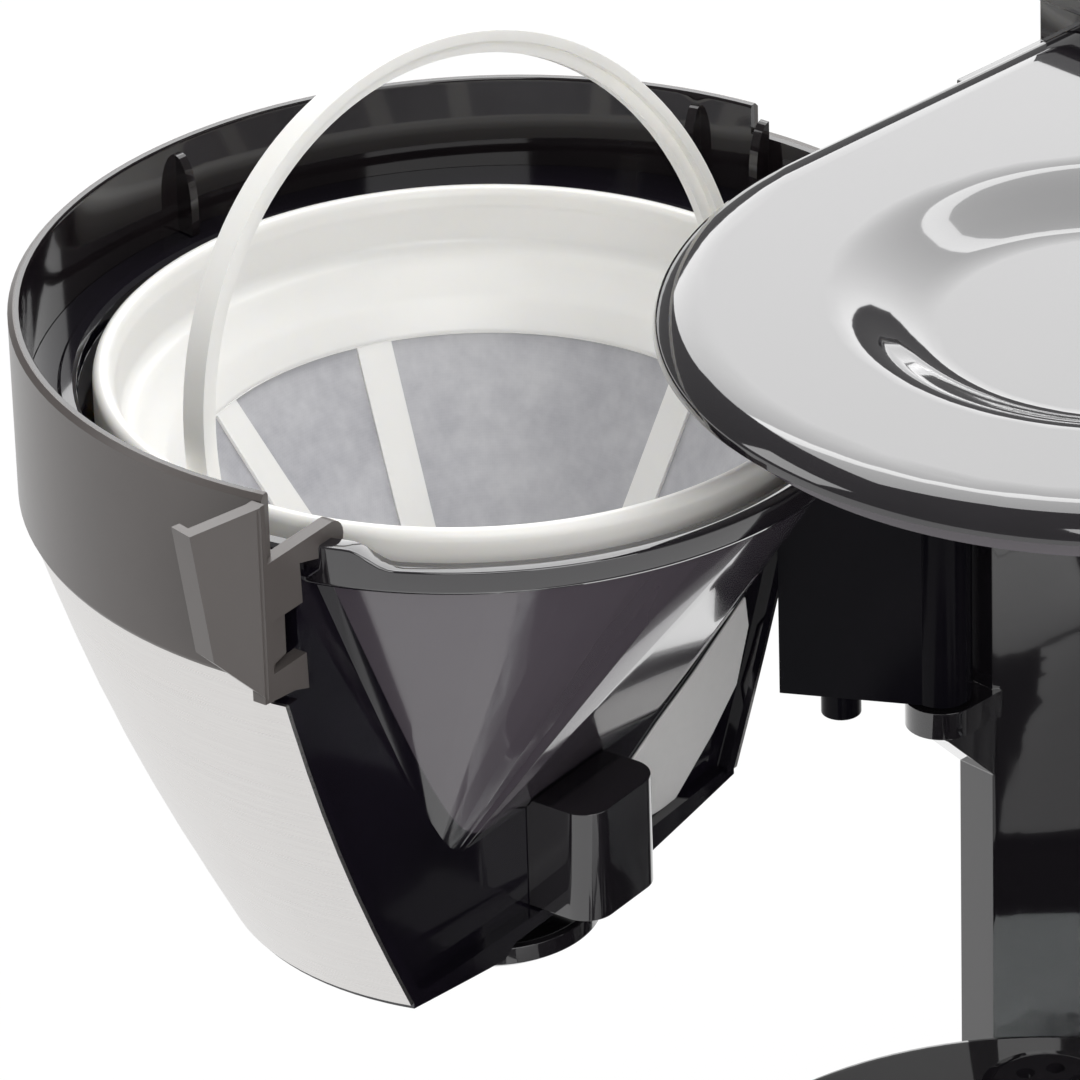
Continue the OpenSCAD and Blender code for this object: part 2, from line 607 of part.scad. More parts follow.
module funnel() color("#101014") {
    difference() {
        union() {
            funnel_form(0, floor_z - skin_wall);
            translate([0, -funnel_shift, 0]) {
                rotate_extrude() lip(lip_z, lip_top);
                rotate([0, 0, asin(slot_w / funnel_r) - 2]) rotate_extrude(angle = 12)
                    lip(lip_z, lip_top + lip_raised);
            }
            intersection() {
                // ledge between lip and band, and the wall behind band and cladding
                rotate_extrude() polygon(concat([[funnel_r - 8, ledge_z - 2], [funnel_r - 8, ledge_z],
                    [band_r - skin_wall - 0.1, ledge_z]], shell_side, [[cone_foot, -clad_low - 2.5],
                    [cone_foot, -clad_low - 0.3], [shell_r(clad_low) - 3, -clad_low + 1]],
                    [for (i = [clad_steps:-1:0]) [shell_r(clad_depths[i]) - skin_wall, -clad_depths[i]]],
                    [[band_r - 2 * skin_wall, -band_h + 1], [band_r - 2 * skin_wall, ledge_z - 2]]));
                front_half();
            }
            // flat back
            intersection() {
                translate([-100, back_at - skin_wall, -200]) cube([200, skin_wall, 300]);
                rotate_extrude() polygon(concat([[0, ledge_z - 2], [band_r - skin_wall - 0.1, ledge_z - 2]],
                    shell_side, [[0, -clad_low - 2.5]]));
            }
            // outlet
            translate([0, -funnel_shift, outlet_z])
                cylinder(r = outlet_r, h = floor_z - skin_wall + 1 - outlet_z);
        }
        funnel_form(skin_wall, floor_z, 60);
        // throat: a tube, the seat of the drip stop, and the cone above it
        translate([0, -funnel_shift, 0]) rotate_extrude() polygon([[0, outlet_z - 1], [throat_r, outlet_z - 1],
            [throat_r, seat_z - 2], [seat_r, seat_z - 2], [seat_r, seat_z], [cone_foot - skin_wall, seat_z],
            [cone_foot - skin_wall, cone_z], [cone_foot + 1, floor_z + 0.1], [0, floor_z + 0.1]]);
        // room for the end plate of the band and its hook, and the window behind the catch
        translate([hook_x - gap, back_at - 0.02, hook_z - 6 - gap]) cube([20, back_in + 1, 30]);
        plate_room();
        translate([band_r - 10.2, back_at - 2 * skin_wall, notch_z[1]])
            cube([12, 10, notch_z[0] - notch_z[1]]);
    }
}

arm_out = col_w;
arm_in = 58;                 // where the arm meets the flat back
elbow_y = 26;                // where its outer side turns in to the hinge
peg_r = 3.4;
peg_at = [-66, cut_y + 7];
module hinge_arm() color("#0e0e12") difference() {
    union() {
        translate([0, 0, -arm_low]) linear_extrude(arm_low - 5.5) polygon([[-arm_in, cut_y],
            [-arm_out + 4, cut_y], [-arm_out + 0.5, cut_y + 6], [-arm_out + 0.5, elbow_y], [hinge[0] - 5, hinge[1]],
            [hinge[0] + 5, hinge[1]]]);
        translate([hinge[0], hinge[1], -arm_low]) cylinder(r = pin_r + 2.7, h = arm_low + 2 - gap);
        // peg under the arm, with its web
        translate([peg_at[0], peg_at[1], -arm_low - 5]) cylinder(r = peg_r, h = 6);
        translate([peg_at[0], peg_at[1], -arm_low]) rotate([0, 90, 110]) translate([0, 0, -0.8])
            linear_extrude(1.6) polygon([[-0.5, 0], [4.5, 0], [-0.5, 11]]);
    }
    // cored out from below
    translate([0, 0, -arm_low + 10]) linear_extrude(arm_low - 18) polygon([[-arm_in - 3.5, cut_y + 2.5],
        [-arm_out + 5, cut_y + 2.5], [-arm_out + 3, cut_y + 7], [-arm_out + 3, elbow_y - 1],
        [hinge[0] + 3, hinge[1] - 8.7]]);
    translate([hinge[0], hinge[1], -arm_low - 20]) cylinder(r = pin_r + run_fit, h = arm_low + 60);
    // room for the funnel and for the end of the band
    funnel_form(-0.02, floor_z - skin_wall);
    translate([0, -funnel_shift, lip_z]) cylinder(r = funnel_r + lip_t + 0.02, h = 40);
    translate([0, 0, -band_h - 0.05]) difference() {
        cylinder(r = band_r + 5, h = band_h);
        translate([0, 0, -1]) cylinder(r = band_r - skin_wall - 0.1, h = band_h + 2);
        translate([-2 * band_r, band_r * sin(far_a - 180) + 4, -1]) cube(4 * band_r);
    }
}

// ---------------------------------------------------------------- drip stop

foot_top = -basket_h + 4.5;
foot_r = 18.5;
stem_r = 2.2;
seal_t = 1.6;
seal_r = 8;
guard_w = 20;
guard_z = 0.1 - clad_low;
guard_h = 20;
// Cover on the flat side of the outlet, open towards it
module valve_guard() color("#131317") difference() {
    translate([0, back_at + 0.02, guard_z]) linear_extrude(guard_h) {
        translate([-guard_w / 2, 0]) square([guard_w, 8]);
        translate([guard_w / 2 - 5, 8]) circle(r = 5);
        translate([5 - guard_w / 2, 8]) circle(r = 5);
        translate([5 - guard_w / 2, 0]) square([guard_w - 10, 13]);
    }
    translate([skin_wall - guard_w / 2, back_at - 1, guard_z - 1])
        cube([guard_w - 2 * skin_wall, 11.5, guard_h - 1.5]);
    translate([0, -funnel_shift, guard_z - 1]) cylinder(r = outlet_r + 0.1, h = guard_h + 2);
    funnel_form(-0.02, floor_z - skin_wall);
}

module valve_foot() color("#161619") translate([0, -funnel_shift, 0]) rotate_extrude()
    polygon([[0, -basket_h + 1], [foot_r - 2, -basket_h], [foot_r, -basket_h + 1.5],
        [foot_r, foot_top], [foot_r - 1.5, foot_top], [foot_r - 3, foot_top - 2.5], [7, foot_top - 2.5],
        [stem_r, foot_top - 2], [stem_r, seat_z + seal_t], [seal_r - 0.4, seat_z + seal_t],
        [seal_r - 0.4, seat_z + seal_t + 1.2], [0, seat_z + seal_t + 3]]);

module valve_spring() color("silver") translate([0, -funnel_shift, 0]) {
    turns = 4;
    sides = 6;
    steps = turns * 14;
    r0 = 5;
    wire = 0.5;
    z0 = foot_top - 2.5 + wire;
    z1 = seat_z - 2 - wire;
    ring = [for (i = [0:steps]) for (k = [0:sides - 1]) let (a = 360 * turns * i / steps, b = 360 * k / sides)
        [(r0 + wire * cos(b)) * cos(a), (r0 + wire * cos(b)) * sin(a),
            z0 + (z1 - z0) * i / steps + wire * sin(b)]];
    skin = [for (i = [0:steps - 1]) for (k = [0:sides - 1]) let (n = (k + 1) % sides)
        [i * sides + k, (i + 1) * sides + k, (i + 1) * sides + n, i * sides + n]];
    caps = [[for (k = [0:sides - 1]) k], [for (k = [sides - 1:-1:0]) steps * sides + k]];
    polyhedron(ring, concat(skin, caps));
}

module valve_seal() color("#7a2f26") translate([0, -funnel_shift, seat_z + 0.02]) difference() {
    cylinder(r = seal_r, h = seal_t - 0.04);
    translate([0, 0, -1]) cylinder(r = stem_r + 0.02, h = seal_t + 2);
}

// ---------------------------------------------------------------- permanent filter

mesh_top = -34;
mesh_r = 47;
tip_z = rim_z - filter_d;
rib_w = 6;
rib_t = 1.8;
toe_l = 20;                  // half the length and width of the filter's foot
toe_w = 9.5;
rib_at = [for (side = [0, 180], a = [0, 90 - rib_spread, 90 + rib_spread]) side + a];
pivot_z = rim_z - 5;
pivot_r = 1.2;
bail_r = rim_r - 3;
bail_t = 1.7;
bail_w = 5.2;
lug_t = 2;
lug_r = 3;
wall_r = bail_r + gap;       // inside of the upright wall below the rim

module at_filter() translate([0, -funnel_shift, 0]) rotate([0, 0, -filter_turn]) children();

// The filter's form from its round shoulder to the long foot
module basin(inset, rise = 0.2) hull() {
    translate([0, 0, mesh_top]) cylinder(r = mesh_r + 1 - inset, h = rise, $fn = 64);
    for (x = [-1, 1]) translate([x * (toe_l - toe_w), 0, tip_z])
        cylinder(r = toe_w - inset, h = 0.2, $fn = 32);
}

module rib_slabs(width) for (a = rib_at) rotate([0, 0, a]) translate([0, -width / 2, tip_z - 1])
    cube([mesh_r + 5, width, mesh_top - tip_z + 1.2]);

module filter_frame() color("#f1f0ea") at_filter() difference() {
    union() {
        // rim, upright wall and shoulder
        rotate_extrude() polygon([[rim_r - 0.6, rim_z], [rim_r, rim_z - 0.8], [rim_r, rim_z - 2],
            [wall_r + 1.2, rim_z - 3], [wall_r + 1.2, pivot_z - 3.2], [wall_r + 0.2, pivot_z - 5],
            [mesh_r + 1, mesh_top + 0.2], [mesh_r + 1, mesh_top], [mesh_r - 0.8, mesh_top], [mesh_r - 0.8, mesh_top + 1],
            [wall_r - 1.6, pivot_z - 4.4], [wall_r, pivot_z - 3.2], [wall_r, rim_z - 1], [wall_r + 0.8, rim_z]]);
        intersection() {
            difference() {
                basin(0);
                basin(rib_t, 5);
            }
            rib_slabs(rib_w);
        }
        translate([0, 0, tip_z - 1.5]) linear_extrude(3) {
            for (x = [-1, 1]) translate([x * (toe_l - toe_w), 0]) circle(r = toe_w);
            square([2 * (toe_l - toe_w), 2 * toe_w], center = true);
        }
        // bosses that take the bail's pins
        for (s = [-1, 1]) translate([s * (wall_r + lug_t / 2 + 0.01), 0, pivot_z]) rotate([0, 90, 0])
            cylinder(r = lug_r, h = lug_t, center = true);
    }
    translate([-2 * rim_r, 0, pivot_z]) rotate([0, 90, 0]) cylinder(r = pivot_r + run_fit, h = 4 * rim_r);
}

module filter_mesh() color("#8e93a3") at_filter() difference() {
    basin(0.7);
    basin(1.1, 5);
    rib_slabs(rib_w + 0.04);
    translate([0, 0, tip_z - 5]) cylinder(r = 3 * toe_l, h = 6.6);
    translate([0, 0, mesh_top - 0.02]) cylinder(r = 2 * mesh_r, h = 10);
}

module bail() color("#f4f3ee") at_filter() translate([0, 0, pivot_z]) rotate([bail_lean, 0, 0]) {
    // arch of T section, a round eye at each foot, and the two pins
    rotate([90, 0, 0]) rotate_extrude(angle = 180) {
        translate([bail_r - bail_t, -bail_w / 2]) square([bail_t, bail_w]);
        translate([bail_r - bail_t - 2, -0.9]) square([2.1, 1.8]);
    }
    for (s = [-1, 1]) translate([s * (bail_r - bail_t), 0, 0]) rotate([0, s * 90, 0]) {
        cylinder(r = bail_w / 2, h = bail_t);
        cylinder(r = pivot_r, h = bail_t + gap + lug_t);
    }
}

// ---------------------------------------------------------------- jug

module at_jug() translate([0, -jug_fwd, plate_z]) children();

neck_r = 50;
glass_out = [[48, 0], [52, 1.2], [56, 4], [61, 12], [64.6, 24], [belly_r, 38], [belly_r - 0.6, 52], [62, 68],
    [56.5, 82], [51.5, 92], [neck_r, 98], [neck_r, jug_h]];
module jug_glass() color([0.8, 0.85, 0.88, 0.35]) at_jug() rotate_extrude() polygon(concat([[0, 0]], glass_out,
    [for (i = [len(glass_out) - 1:-1:1]) [glass_out[i][0] - glass_t, max(glass_out[i][1], glass_t)]],
    [[0, glass_t]]));

collar_z = 92;
module jug_collar() color("#141417") at_jug() difference() {
    translate([0, 0, collar_z]) rotate_extrude() polygon([[neck_r + 3.2, -2], [neck_r + 5.5, -3],
        [neck_r + 6, 2], [neck_r + 4, 12], [neck_r + 0.3, 12], [neck_r + 0.3, 5]]);
    translate([0, -neck_r - 8, collar_z]) rotate([-90, 0, 0]) cylinder(r = 2, h = 12);
}

handle_w = 16;
handle_t = 9;
handle_bend = 22;
handle_foot = 26;
handle_top = 98;
handle_out = 26;             // how far the handle's bend starts from the jug's neck
module jug_handle() color("#141417") at_jug() translate([-handle_w / 2, 0, 0]) {
    bend_y = -neck_r - handle_out;
    difference() {
        rotate([90, 0, 90]) linear_extrude(handle_w) {
            // arm from the collar, round bend, and the grip, which ends in a curl
            translate([bend_y, handle_top - handle_t]) square([handle_out - 6.6, handle_t]);
            intersection() {
                translate([bend_y, handle_top - handle_bend]) difference() {
                    circle(r = handle_bend);
                    circle(r = handle_bend - handle_t);
                }
                translate([bend_y - handle_bend, handle_top - handle_bend]) square(handle_bend);
            }
            translate([bend_y - handle_bend, handle_foot])
                square([handle_t, handle_top - handle_bend - handle_foot]);
            translate([bend_y - handle_bend + handle_t / 2, handle_foot]) circle(r = handle_t / 2);
        }
        translate([handle_w / 2, -neck_r - 16, collar_z]) rotate([-90, 0, 0]) cylinder(r = 2, h = 20);
    }
    // ears for the lid's pin
    for (x = [0, handle_w - 3]) translate([x, 0, 0]) difference() {
        rotate([90, 0, 90]) linear_extrude(3) {
            translate([lid_pin_y, lid_pin_z]) circle(r = 3);
            translate([lid_pin_y - 3, handle_top - 1]) square([6, lid_pin_z - handle_top + 1]);
        }
        translate([-1, lid_pin_y, lid_pin_z]) rotate([0, 90, 0]) cylinder(r = lid_pin_r + 0.02, h = 6);
    }
}

module collar_screw() color("silver") at_jug() translate([0, -neck_r - 2.6, collar_z]) rotate([90, 0, 0])
    cylinder(r = 1.9, h = 13);

lid_seat = jug_h + 0.4;
jug_rise = bay_h - 3 - lid_seat - 1;    // the boss ends just under the drip stop
lid_pin_y = -jug_lid_r + 3;
lid_pin_z = lid_seat - 3.4;
lid_pin_r = 1.2;
lid_eye = 9;
module jug_lid() color("#1a1a1d") at_jug() translate([0, 0, lid_seat]) difference() {
    union() {
        rotate_extrude() polygon([[0, jug_rise - 2.4], [9, jug_rise - 3], [11, jug_rise - 8], [20, 9],
            [40, 4.6], [jug_lid_r - 3, 0.6], [jug_lid_r - 3, 0], [jug_lid_r - 1, 0], [jug_lid_r, 1.4],
            [jug_lid_r, 3], [jug_lid_r - 2.5, 4], [40, 7.2], [21.5, 11.5], [13.4, jug_rise - 7],
            [11, jug_rise - 0.5], [9, jug_rise], [0, jug_rise]]);
        translate([0, 0, -6]) difference() {
            cylinder(r = neck_r - glass_t - 0.6, h = 10);
            translate([0, 0, -1]) cylinder(r = neck_r - glass_t - 2.4, h = 14);
        }
        // eye that turns on the pin
        translate([-lid_eye / 2, lid_pin_y, lid_pin_z - lid_seat]) rotate([0, 90, 0])
            cylinder(r = 2.6, h = lid_eye);
        translate([-lid_eye / 2, lid_pin_y - 2.6, lid_pin_z - lid_seat]) cube([lid_eye, 5.2, 5]);
    }
    // holes that let the coffee through
    for (a = [0:60:300]) rotate([0, 0, a]) translate([5, 0, jug_rise - 10]) cylinder(r = 1.5, h = 20);
    translate([-20, lid_pin_y, lid_pin_z - lid_seat]) rotate([0, 90, 0])
        cylinder(r = lid_pin_r + run_fit, h = 40);
}

module lid_pin() color("silver") at_jug() translate([-handle_w / 2, lid_pin_y, lid_pin_z]) rotate([0, 90, 0])
    cylinder(r = lid_pin_r, h = handle_w);

base_shell();
base_cover();
feet();
cover_screws();
plate_seal();
hotplate();
heater();
thermostat();
cold_hose();
hot_hose();
riser_tube();
check_valve();
cord_gland();
switch_bezel();
rocker();
lamp_lens();
rear_housing();
hump_shell();
tank();
head_tray();
spray_head();
feed_duct();
top_lid();
hinge_pin();
tank_flap();
flap_pin();
on_basket() funnel();
on_basket() band();
on_basket() cladding();
on_basket() hinge_arm();
on_basket() valve_guard();
on_basket() filter_frame();
on_basket() filter_mesh();
on_basket() bail();
on_basket() valve_foot();
on_basket() valve_spring();
on_basket() valve_seal();
jug_glass();
jug_collar();
jug_handle();
collar_screw();
jug_lid();
lid_pin();
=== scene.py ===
"""Drip coffee maker with its filter basket swung open. Metres, +Z up, -Y is the machine's front."""
import json
import math

import bpy
from mathutils import Matrix, Vector

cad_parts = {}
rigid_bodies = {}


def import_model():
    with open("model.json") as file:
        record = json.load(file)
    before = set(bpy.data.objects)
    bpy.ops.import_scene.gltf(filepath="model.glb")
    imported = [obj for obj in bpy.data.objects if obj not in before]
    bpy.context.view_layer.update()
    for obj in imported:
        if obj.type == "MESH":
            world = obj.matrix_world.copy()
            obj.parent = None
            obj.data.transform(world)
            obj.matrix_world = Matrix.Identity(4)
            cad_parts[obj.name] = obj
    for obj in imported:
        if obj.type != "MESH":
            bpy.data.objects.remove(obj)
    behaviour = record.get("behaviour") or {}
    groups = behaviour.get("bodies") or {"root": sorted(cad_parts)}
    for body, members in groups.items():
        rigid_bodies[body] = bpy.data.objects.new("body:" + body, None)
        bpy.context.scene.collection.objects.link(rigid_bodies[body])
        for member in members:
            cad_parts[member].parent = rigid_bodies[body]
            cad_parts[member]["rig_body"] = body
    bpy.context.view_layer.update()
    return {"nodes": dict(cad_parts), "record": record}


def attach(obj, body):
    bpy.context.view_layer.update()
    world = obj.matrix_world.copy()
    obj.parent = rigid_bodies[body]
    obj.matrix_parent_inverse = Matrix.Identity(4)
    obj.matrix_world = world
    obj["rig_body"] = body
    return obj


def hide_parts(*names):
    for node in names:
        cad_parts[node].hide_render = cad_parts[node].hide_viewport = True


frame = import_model()
nodes = frame["nodes"]


bpy.ops.object.select_all(action="DESELECT")


# ---------------------------------------------------------------- camera, light and floor

CAMERA_AT = (0.8173, -0.9194, 0.9509)
CAMERA_HEADING = math.radians(45.89)     # turned left from looking straight at the front
CAMERA_DIP = math.radians(28.75)
CAMERA_ROLL = math.radians(-1.78)
CAMERA_LENS = 300.0

FLOOR_SIZE = 30.0
FLOOR_DROP = 0.0002                      # keeps the floor just clear of the feet
BACKDROP_WHITE = 1.0
FLOOR_GLOW = 0.93                        # share of the floor's own light where it is looked at
ROOM_GREY = 0.18                         # what the object sees of the room between the lamps


def make_camera():
    bpy.ops.object.camera_add(location=CAMERA_AT)
    camera = bpy.context.object
    camera.name = "camera"
    turn = (Matrix.Rotation(CAMERA_HEADING, 3, "Z") @ Matrix.Rotation(math.pi / 2 - CAMERA_DIP, 3, "X")
            @ Matrix.Rotation(CAMERA_ROLL, 3, "Z"))
    camera.rotation_euler = turn.to_euler()
    camera.data.lens = CAMERA_LENS
    camera.data.sensor_width = 36.0
    camera.data.clip_end = 100.0
    bpy.context.scene.camera = camera


def either(tree, first, second):
    """The larger of two masks."""
    larger = tree.nodes.new("ShaderNodeMath")
    larger.operation = "MAXIMUM"
    tree.links.new(first, larger.inputs[0])
    tree.links.new(second, larger.inputs[1])
    return larger.outputs[0]


def make_world():
    world = bpy.data.worlds.new("studio")
    bpy.context.scene.world = world
    world.use_nodes = True
    tree = world.node_tree
    tree.nodes.clear()
    output = tree.nodes.new("ShaderNodeOutputWorld")
    room = tree.nodes.new("ShaderNodeBackground")
    room.inputs["Color"].default_value = (1.0, 1.0, 1.0, 1.0)
    room.inputs["Strength"].default_value = ROOM_GREY
    white = tree.nodes.new("ShaderNodeBackground")
    white.inputs["Color"].default_value = (1.0, 1.0, 1.0, 1.0)
    white.inputs["Strength"].default_value = BACKDROP_WHITE
    path = tree.nodes.new("ShaderNodeLightPath")
    mix = tree.nodes.new("ShaderNodeMixShader")
    seen = either(tree, path.outputs["Is Camera Ray"], path.outputs["Is Transmission Ray"])
    tree.links.new(seen, mix.inputs["Fac"])
    tree.links.new(room.outputs[0], mix.inputs[1])
    tree.links.new(white.outputs[0], mix.inputs[2])
    tree.links.new(mix.outputs[0], output.inputs["Surface"])


def make_floor():
    bpy.ops.mesh.primitive_plane_add(size=FLOOR_SIZE, location=(0.0, 0.0, -FLOOR_DROP))
    floor = bpy.context.object
    floor.name = "floor"
    material = bpy.data.materials.new("floor_white")
    material.use_nodes = True
    tree = material.node_tree
    output = tree.nodes["Material Output"]
    paint = tree.nodes["Principled BSDF"]
    paint.inputs["Base Color"].default_value = (0.9, 0.9, 0.9, 1.0)
    paint.inputs["Roughness"].default_value = 0.8
    glow = tree.nodes.new("ShaderNodeEmission")
    glow.inputs["Strength"].default_value = BACKDROP_WHITE
    path = tree.nodes.new("ShaderNodeLightPath")
    seen = either(tree, path.outputs["Is Camera Ray"], path.outputs["Is Glossy Ray"])
    seen = either(tree, seen, path.outputs["Is Transmission Ray"])
    share = tree.nodes.new("ShaderNodeMath")
    share.operation = "MULTIPLY"
    share.inputs[1].default_value = FLOOR_GLOW
    tree.links.new(seen, share.inputs[0])
    mix = tree.nodes.new("ShaderNodeMixShader")
    tree.links.new(share.outputs[0], mix.inputs["Fac"])
    tree.links.new(paint.outputs[0], mix.inputs[1])
    tree.links.new(glow.outputs[0], mix.inputs[2])
    tree.links.new(mix.outputs[0], output.inputs["Surface"])
    floor.data.materials.append(material)


def softbox(name, at, aim, width, height, brightness):
    """An area light of the given brightness, turned to the point that it is aimed at."""
    bpy.ops.object.light_add(type="AREA", location=at)
    lamp = bpy.context.object
    lamp.name = name
    lamp.data.shape = "RECTANGLE"
    lamp.data.size = width
    lamp.data.size_y = height
    lamp.data.energy = brightness * math.pi * width * height
    lamp.rotation_euler = (Vector(aim) - Vector(at)).to_track_quat("-Z", "Y").to_euler()


make_camera()
make_world()
make_floor()
# lamp, its place, what it is aimed at, width, height and brightness
softbox("back_box", (-1.4, 1.9, 2.1), (0.0, 0.0, 0.3), 3.4, 2.2, 2.8)
softbox("roof_box", (-0.6, 0.85, 2.8), (0.0, 0.0, 0.3), 3.2, 1.7, 3.0)
softbox("front_box", (1.25, -0.9, 1.6), (-0.05, 0.0, 0.25), 1.4, 1.2, 3.4)
softbox("low_box", (1.8, -0.6, 0.65), (-0.09, 0.0, 0.22), 1.0, 0.7, 2.6)
softbox("left_box", (-1.5, -1.5, 1.2), (-0.1, 0.0, 0.25), 1.0, 1.0, 2.4)


# ---------------------------------------------------------------- surface effects, as node groups

def new_group(name, takes, gives):
    """An empty shader group with named sockets, and its input and output node."""
    group = bpy.data.node_groups.new(name, "ShaderNodeTree")
    for label, kind, value in takes:
        socket = group.interface.new_socket(label, in_out="INPUT", socket_type="NodeSocket" + kind)
        if value is not None:
            socket.default_value = value
    for label, kind in gives:
        group.interface.new_socket(label, in_out="OUTPUT", socket_type="NodeSocket" + kind)
    return group, group.nodes.new("NodeGroupInput"), group.nodes.new("NodeGroupOutput")


def feed(tree, value, socket):
    """Links an output to a socket, or sets a plain value on it."""
    if isinstance(value, bpy.types.NodeSocket):
        tree.links.new(value, socket)
    elif value is not None:
        socket.default_value = value


def result_of(tree, operation, first, second=None, third=None):
    """The result of a sum on up to three values."""
    node = tree.nodes.new("ShaderNodeMath")
    node.operation = operation
    for socket, value in zip(node.inputs, (first, second, third)):
        feed(tree, value, socket)
    return node.outputs[0]


def noise_of(tree, place, size, detail=3.0, rough=0.5):
    """Soft random clouds, from 0 to 1."""
    node = tree.nodes.new("ShaderNodeTexNoise")
    feed(tree, place, node.inputs["Vector"])
    feed(tree, size, node.inputs["Scale"])
    node.inputs["Detail"].default_value = detail
    node.inputs["Roughness"].default_value = rough
    return node.outputs["Fac"]


def spread_of(tree, value, low, high, to_low, to_high):
    """A value moved from one range to another, and held to its ends."""
    node = tree.nodes.new("ShaderNodeMapRange")
    for socket, number in zip(node.inputs[:5], (value, low, high, to_low, to_high)):
        feed(tree, number, socket)
    return node.outputs["Result"]


def blend_of(tree, share, first, second):
    """Two colours mixed by a share. The node's colour sockets come after those of its other types."""
    node = tree.nodes.new("ShaderNodeMix")
    node.data_type = "RGBA"
    for place, value in ((0, share), (6, first), (7, second)):
        feed(tree, value, node.inputs[place])
    return node.outputs[2]


FULL_TURN = 6.2832                       # in radians


def make_handled():
    """Roughness that wanders a little, as on a surface that is wiped and touched."""
    group, given, made = new_group(
        "handled", [("Place", "Vector", None), ("Roughness", "Float", 0.2), ("Spread", "Float", 0.05),
                    ("Size", "Float", 30.0)], [("Roughness", "Float")])
    broad = noise_of(group, given.outputs["Place"], given.outputs["Size"], 4.0, 0.55)
    fine = noise_of(group, given.outputs["Place"], 900.0, 2.0)
    both = result_of(group, "MULTIPLY_ADD", fine, 0.3, result_of(group, "MULTIPLY", broad, 1.4))
    centred = result_of(group, "SUBTRACT", both, 0.85)
    rough = result_of(group, "MULTIPLY_ADD", centred, given.outputs["Spread"], given.outputs["Roughness"])
    clamped = result_of(group, "MAXIMUM", rough, 0.02)
    group.links.new(clamped, made.inputs["Roughness"])
    return group


def make_moulded():
    """The faint waviness and orange peel of a moulding."""
    group, given, made = new_group(
        "moulded", [("Place", "Vector", None), ("Size", "Float", 500.0), ("Wave", "Float", 0.3)],
        [("Height", "Float")])
    peel = noise_of(group, given.outputs["Place"], given.outputs["Size"], 2.0, 0.6)
    wave = noise_of(group, given.outputs["Place"], 25.0, 1.0)
    scaled = result_of(group, "MULTIPLY", wave, given.outputs["Wave"])
    height = result_of(group, "ADD", peel, result_of(group, "MULTIPLY", scaled, 20.0))
    group.links.new(height, made.inputs["Height"])
    return group


def make_toned():
    """Two close colours of one material, mixed by soft clouds."""
    group, given, made = new_group(
        "toned", [("Place", "Vector", None), ("Main", "Color", None), ("Second", "Color", None),
                  ("Size", "Float", 20.0)], [("Color", "Color")])
    cloud = noise_of(group, given.outputs["Place"], given.outputs["Size"], 5.0, 0.6)
    mask = spread_of(group, cloud, 0.35, 0.65, 0.0, 1.0)
    colour = blend_of(group, mask, given.outputs["Main"], given.outputs["Second"])
    group.links.new(colour, made.inputs["Color"])
    return group


def make_round_about():
    """Place as seen from an upright axis: along the circle, down the wall, and away from the axis."""
    group, given, made = new_group(
        "round_about", [("Place", "Vector", None)], [("Place", "Vector"), ("Distance", "Float")])
    parts = group.nodes.new("ShaderNodeSeparateXYZ")
    group.links.new(given.outputs["Place"], parts.inputs[0])
    turn = result_of(group, "ARCTAN2", parts.outputs[1], parts.outputs[0])
    square = result_of(group, "MULTIPLY_ADD", parts.outputs[0], parts.outputs[0],
                    result_of(group, "MULTIPLY", parts.outputs[1], parts.outputs[1]))
    away = result_of(group, "SQRT", square)
    whole = group.nodes.new("ShaderNodeCombineXYZ")
    group.links.new(turn, whole.inputs[0])
    group.links.new(parts.outputs[2], whole.inputs[1])
    group.links.new(away, whole.inputs[2])
    group.links.new(whole.outputs[0], made.inputs["Place"])
    group.links.new(away, made.inputs["Distance"])
    return group


def make_brushed():
    """Long fine grain along the first direction of the place that is given."""
    group, given, made = new_group(
        "brushed", [("Place", "Vector", None), ("Along", "Float", 3.0), ("Across", "Float", 2500.0)],
        [("Grain", "Float"), ("Cloud", "Float")])
    parts = group.nodes.new("ShaderNodeSeparateXYZ")
    group.links.new(given.outputs["Place"], parts.inputs[0])
    stretched = group.nodes.new("ShaderNodeCombineXYZ")
    for axis, stretch in enumerate(("Along", "Across", "Across")):
        scaled = result_of(group, "MULTIPLY", parts.outputs[axis], given.outputs[stretch])
        group.links.new(scaled, stretched.inputs[axis])
    group.links.new(noise_of(group, stretched.outputs[0], 1.0, 4.0, 0.7), made.inputs["Grain"])
    group.links.new(noise_of(group, given.outputs["Place"], 12.0, 3.0), made.inputs["Cloud"])
    return group


def make_woven():
    """A fine plain weave with the patches that coffee leaves on it."""
    group, given, made = new_group(
        "woven", [("Place", "Vector", None), ("Pitch", "Float", 0.0005)],
        [("Thread", "Float"), ("Patch", "Float")])
    size = result_of(group, "DIVIDE", FULL_TURN, given.outputs["Pitch"])
    parts = group.nodes.new("ShaderNodeSeparateXYZ")
    group.links.new(given.outputs["Place"], parts.inputs[0])
    level = result_of(group, "ADD", parts.outputs[0], parts.outputs[1])
    warp = result_of(group, "SINE", result_of(group, "MULTIPLY", level, size))
    weft = result_of(group, "SINE", result_of(group, "MULTIPLY", parts.outputs[2], size))
    thread = result_of(group, "MAXIMUM", warp, weft)
    group.links.new(thread, made.inputs["Thread"])
    wide = noise_of(group, given.outputs["Place"], 45.0, 5.0, 0.62)
    small = noise_of(group, given.outputs["Place"], 260.0, 3.0, 0.6)
    patch = result_of(group, "MULTIPLY_ADD", small, 0.45, result_of(group, "MULTIPLY", wide, 0.75))
    group.links.new(spread_of(group, patch, 0.45, 0.75, 0.0, 1.0), made.inputs["Patch"])
    return group


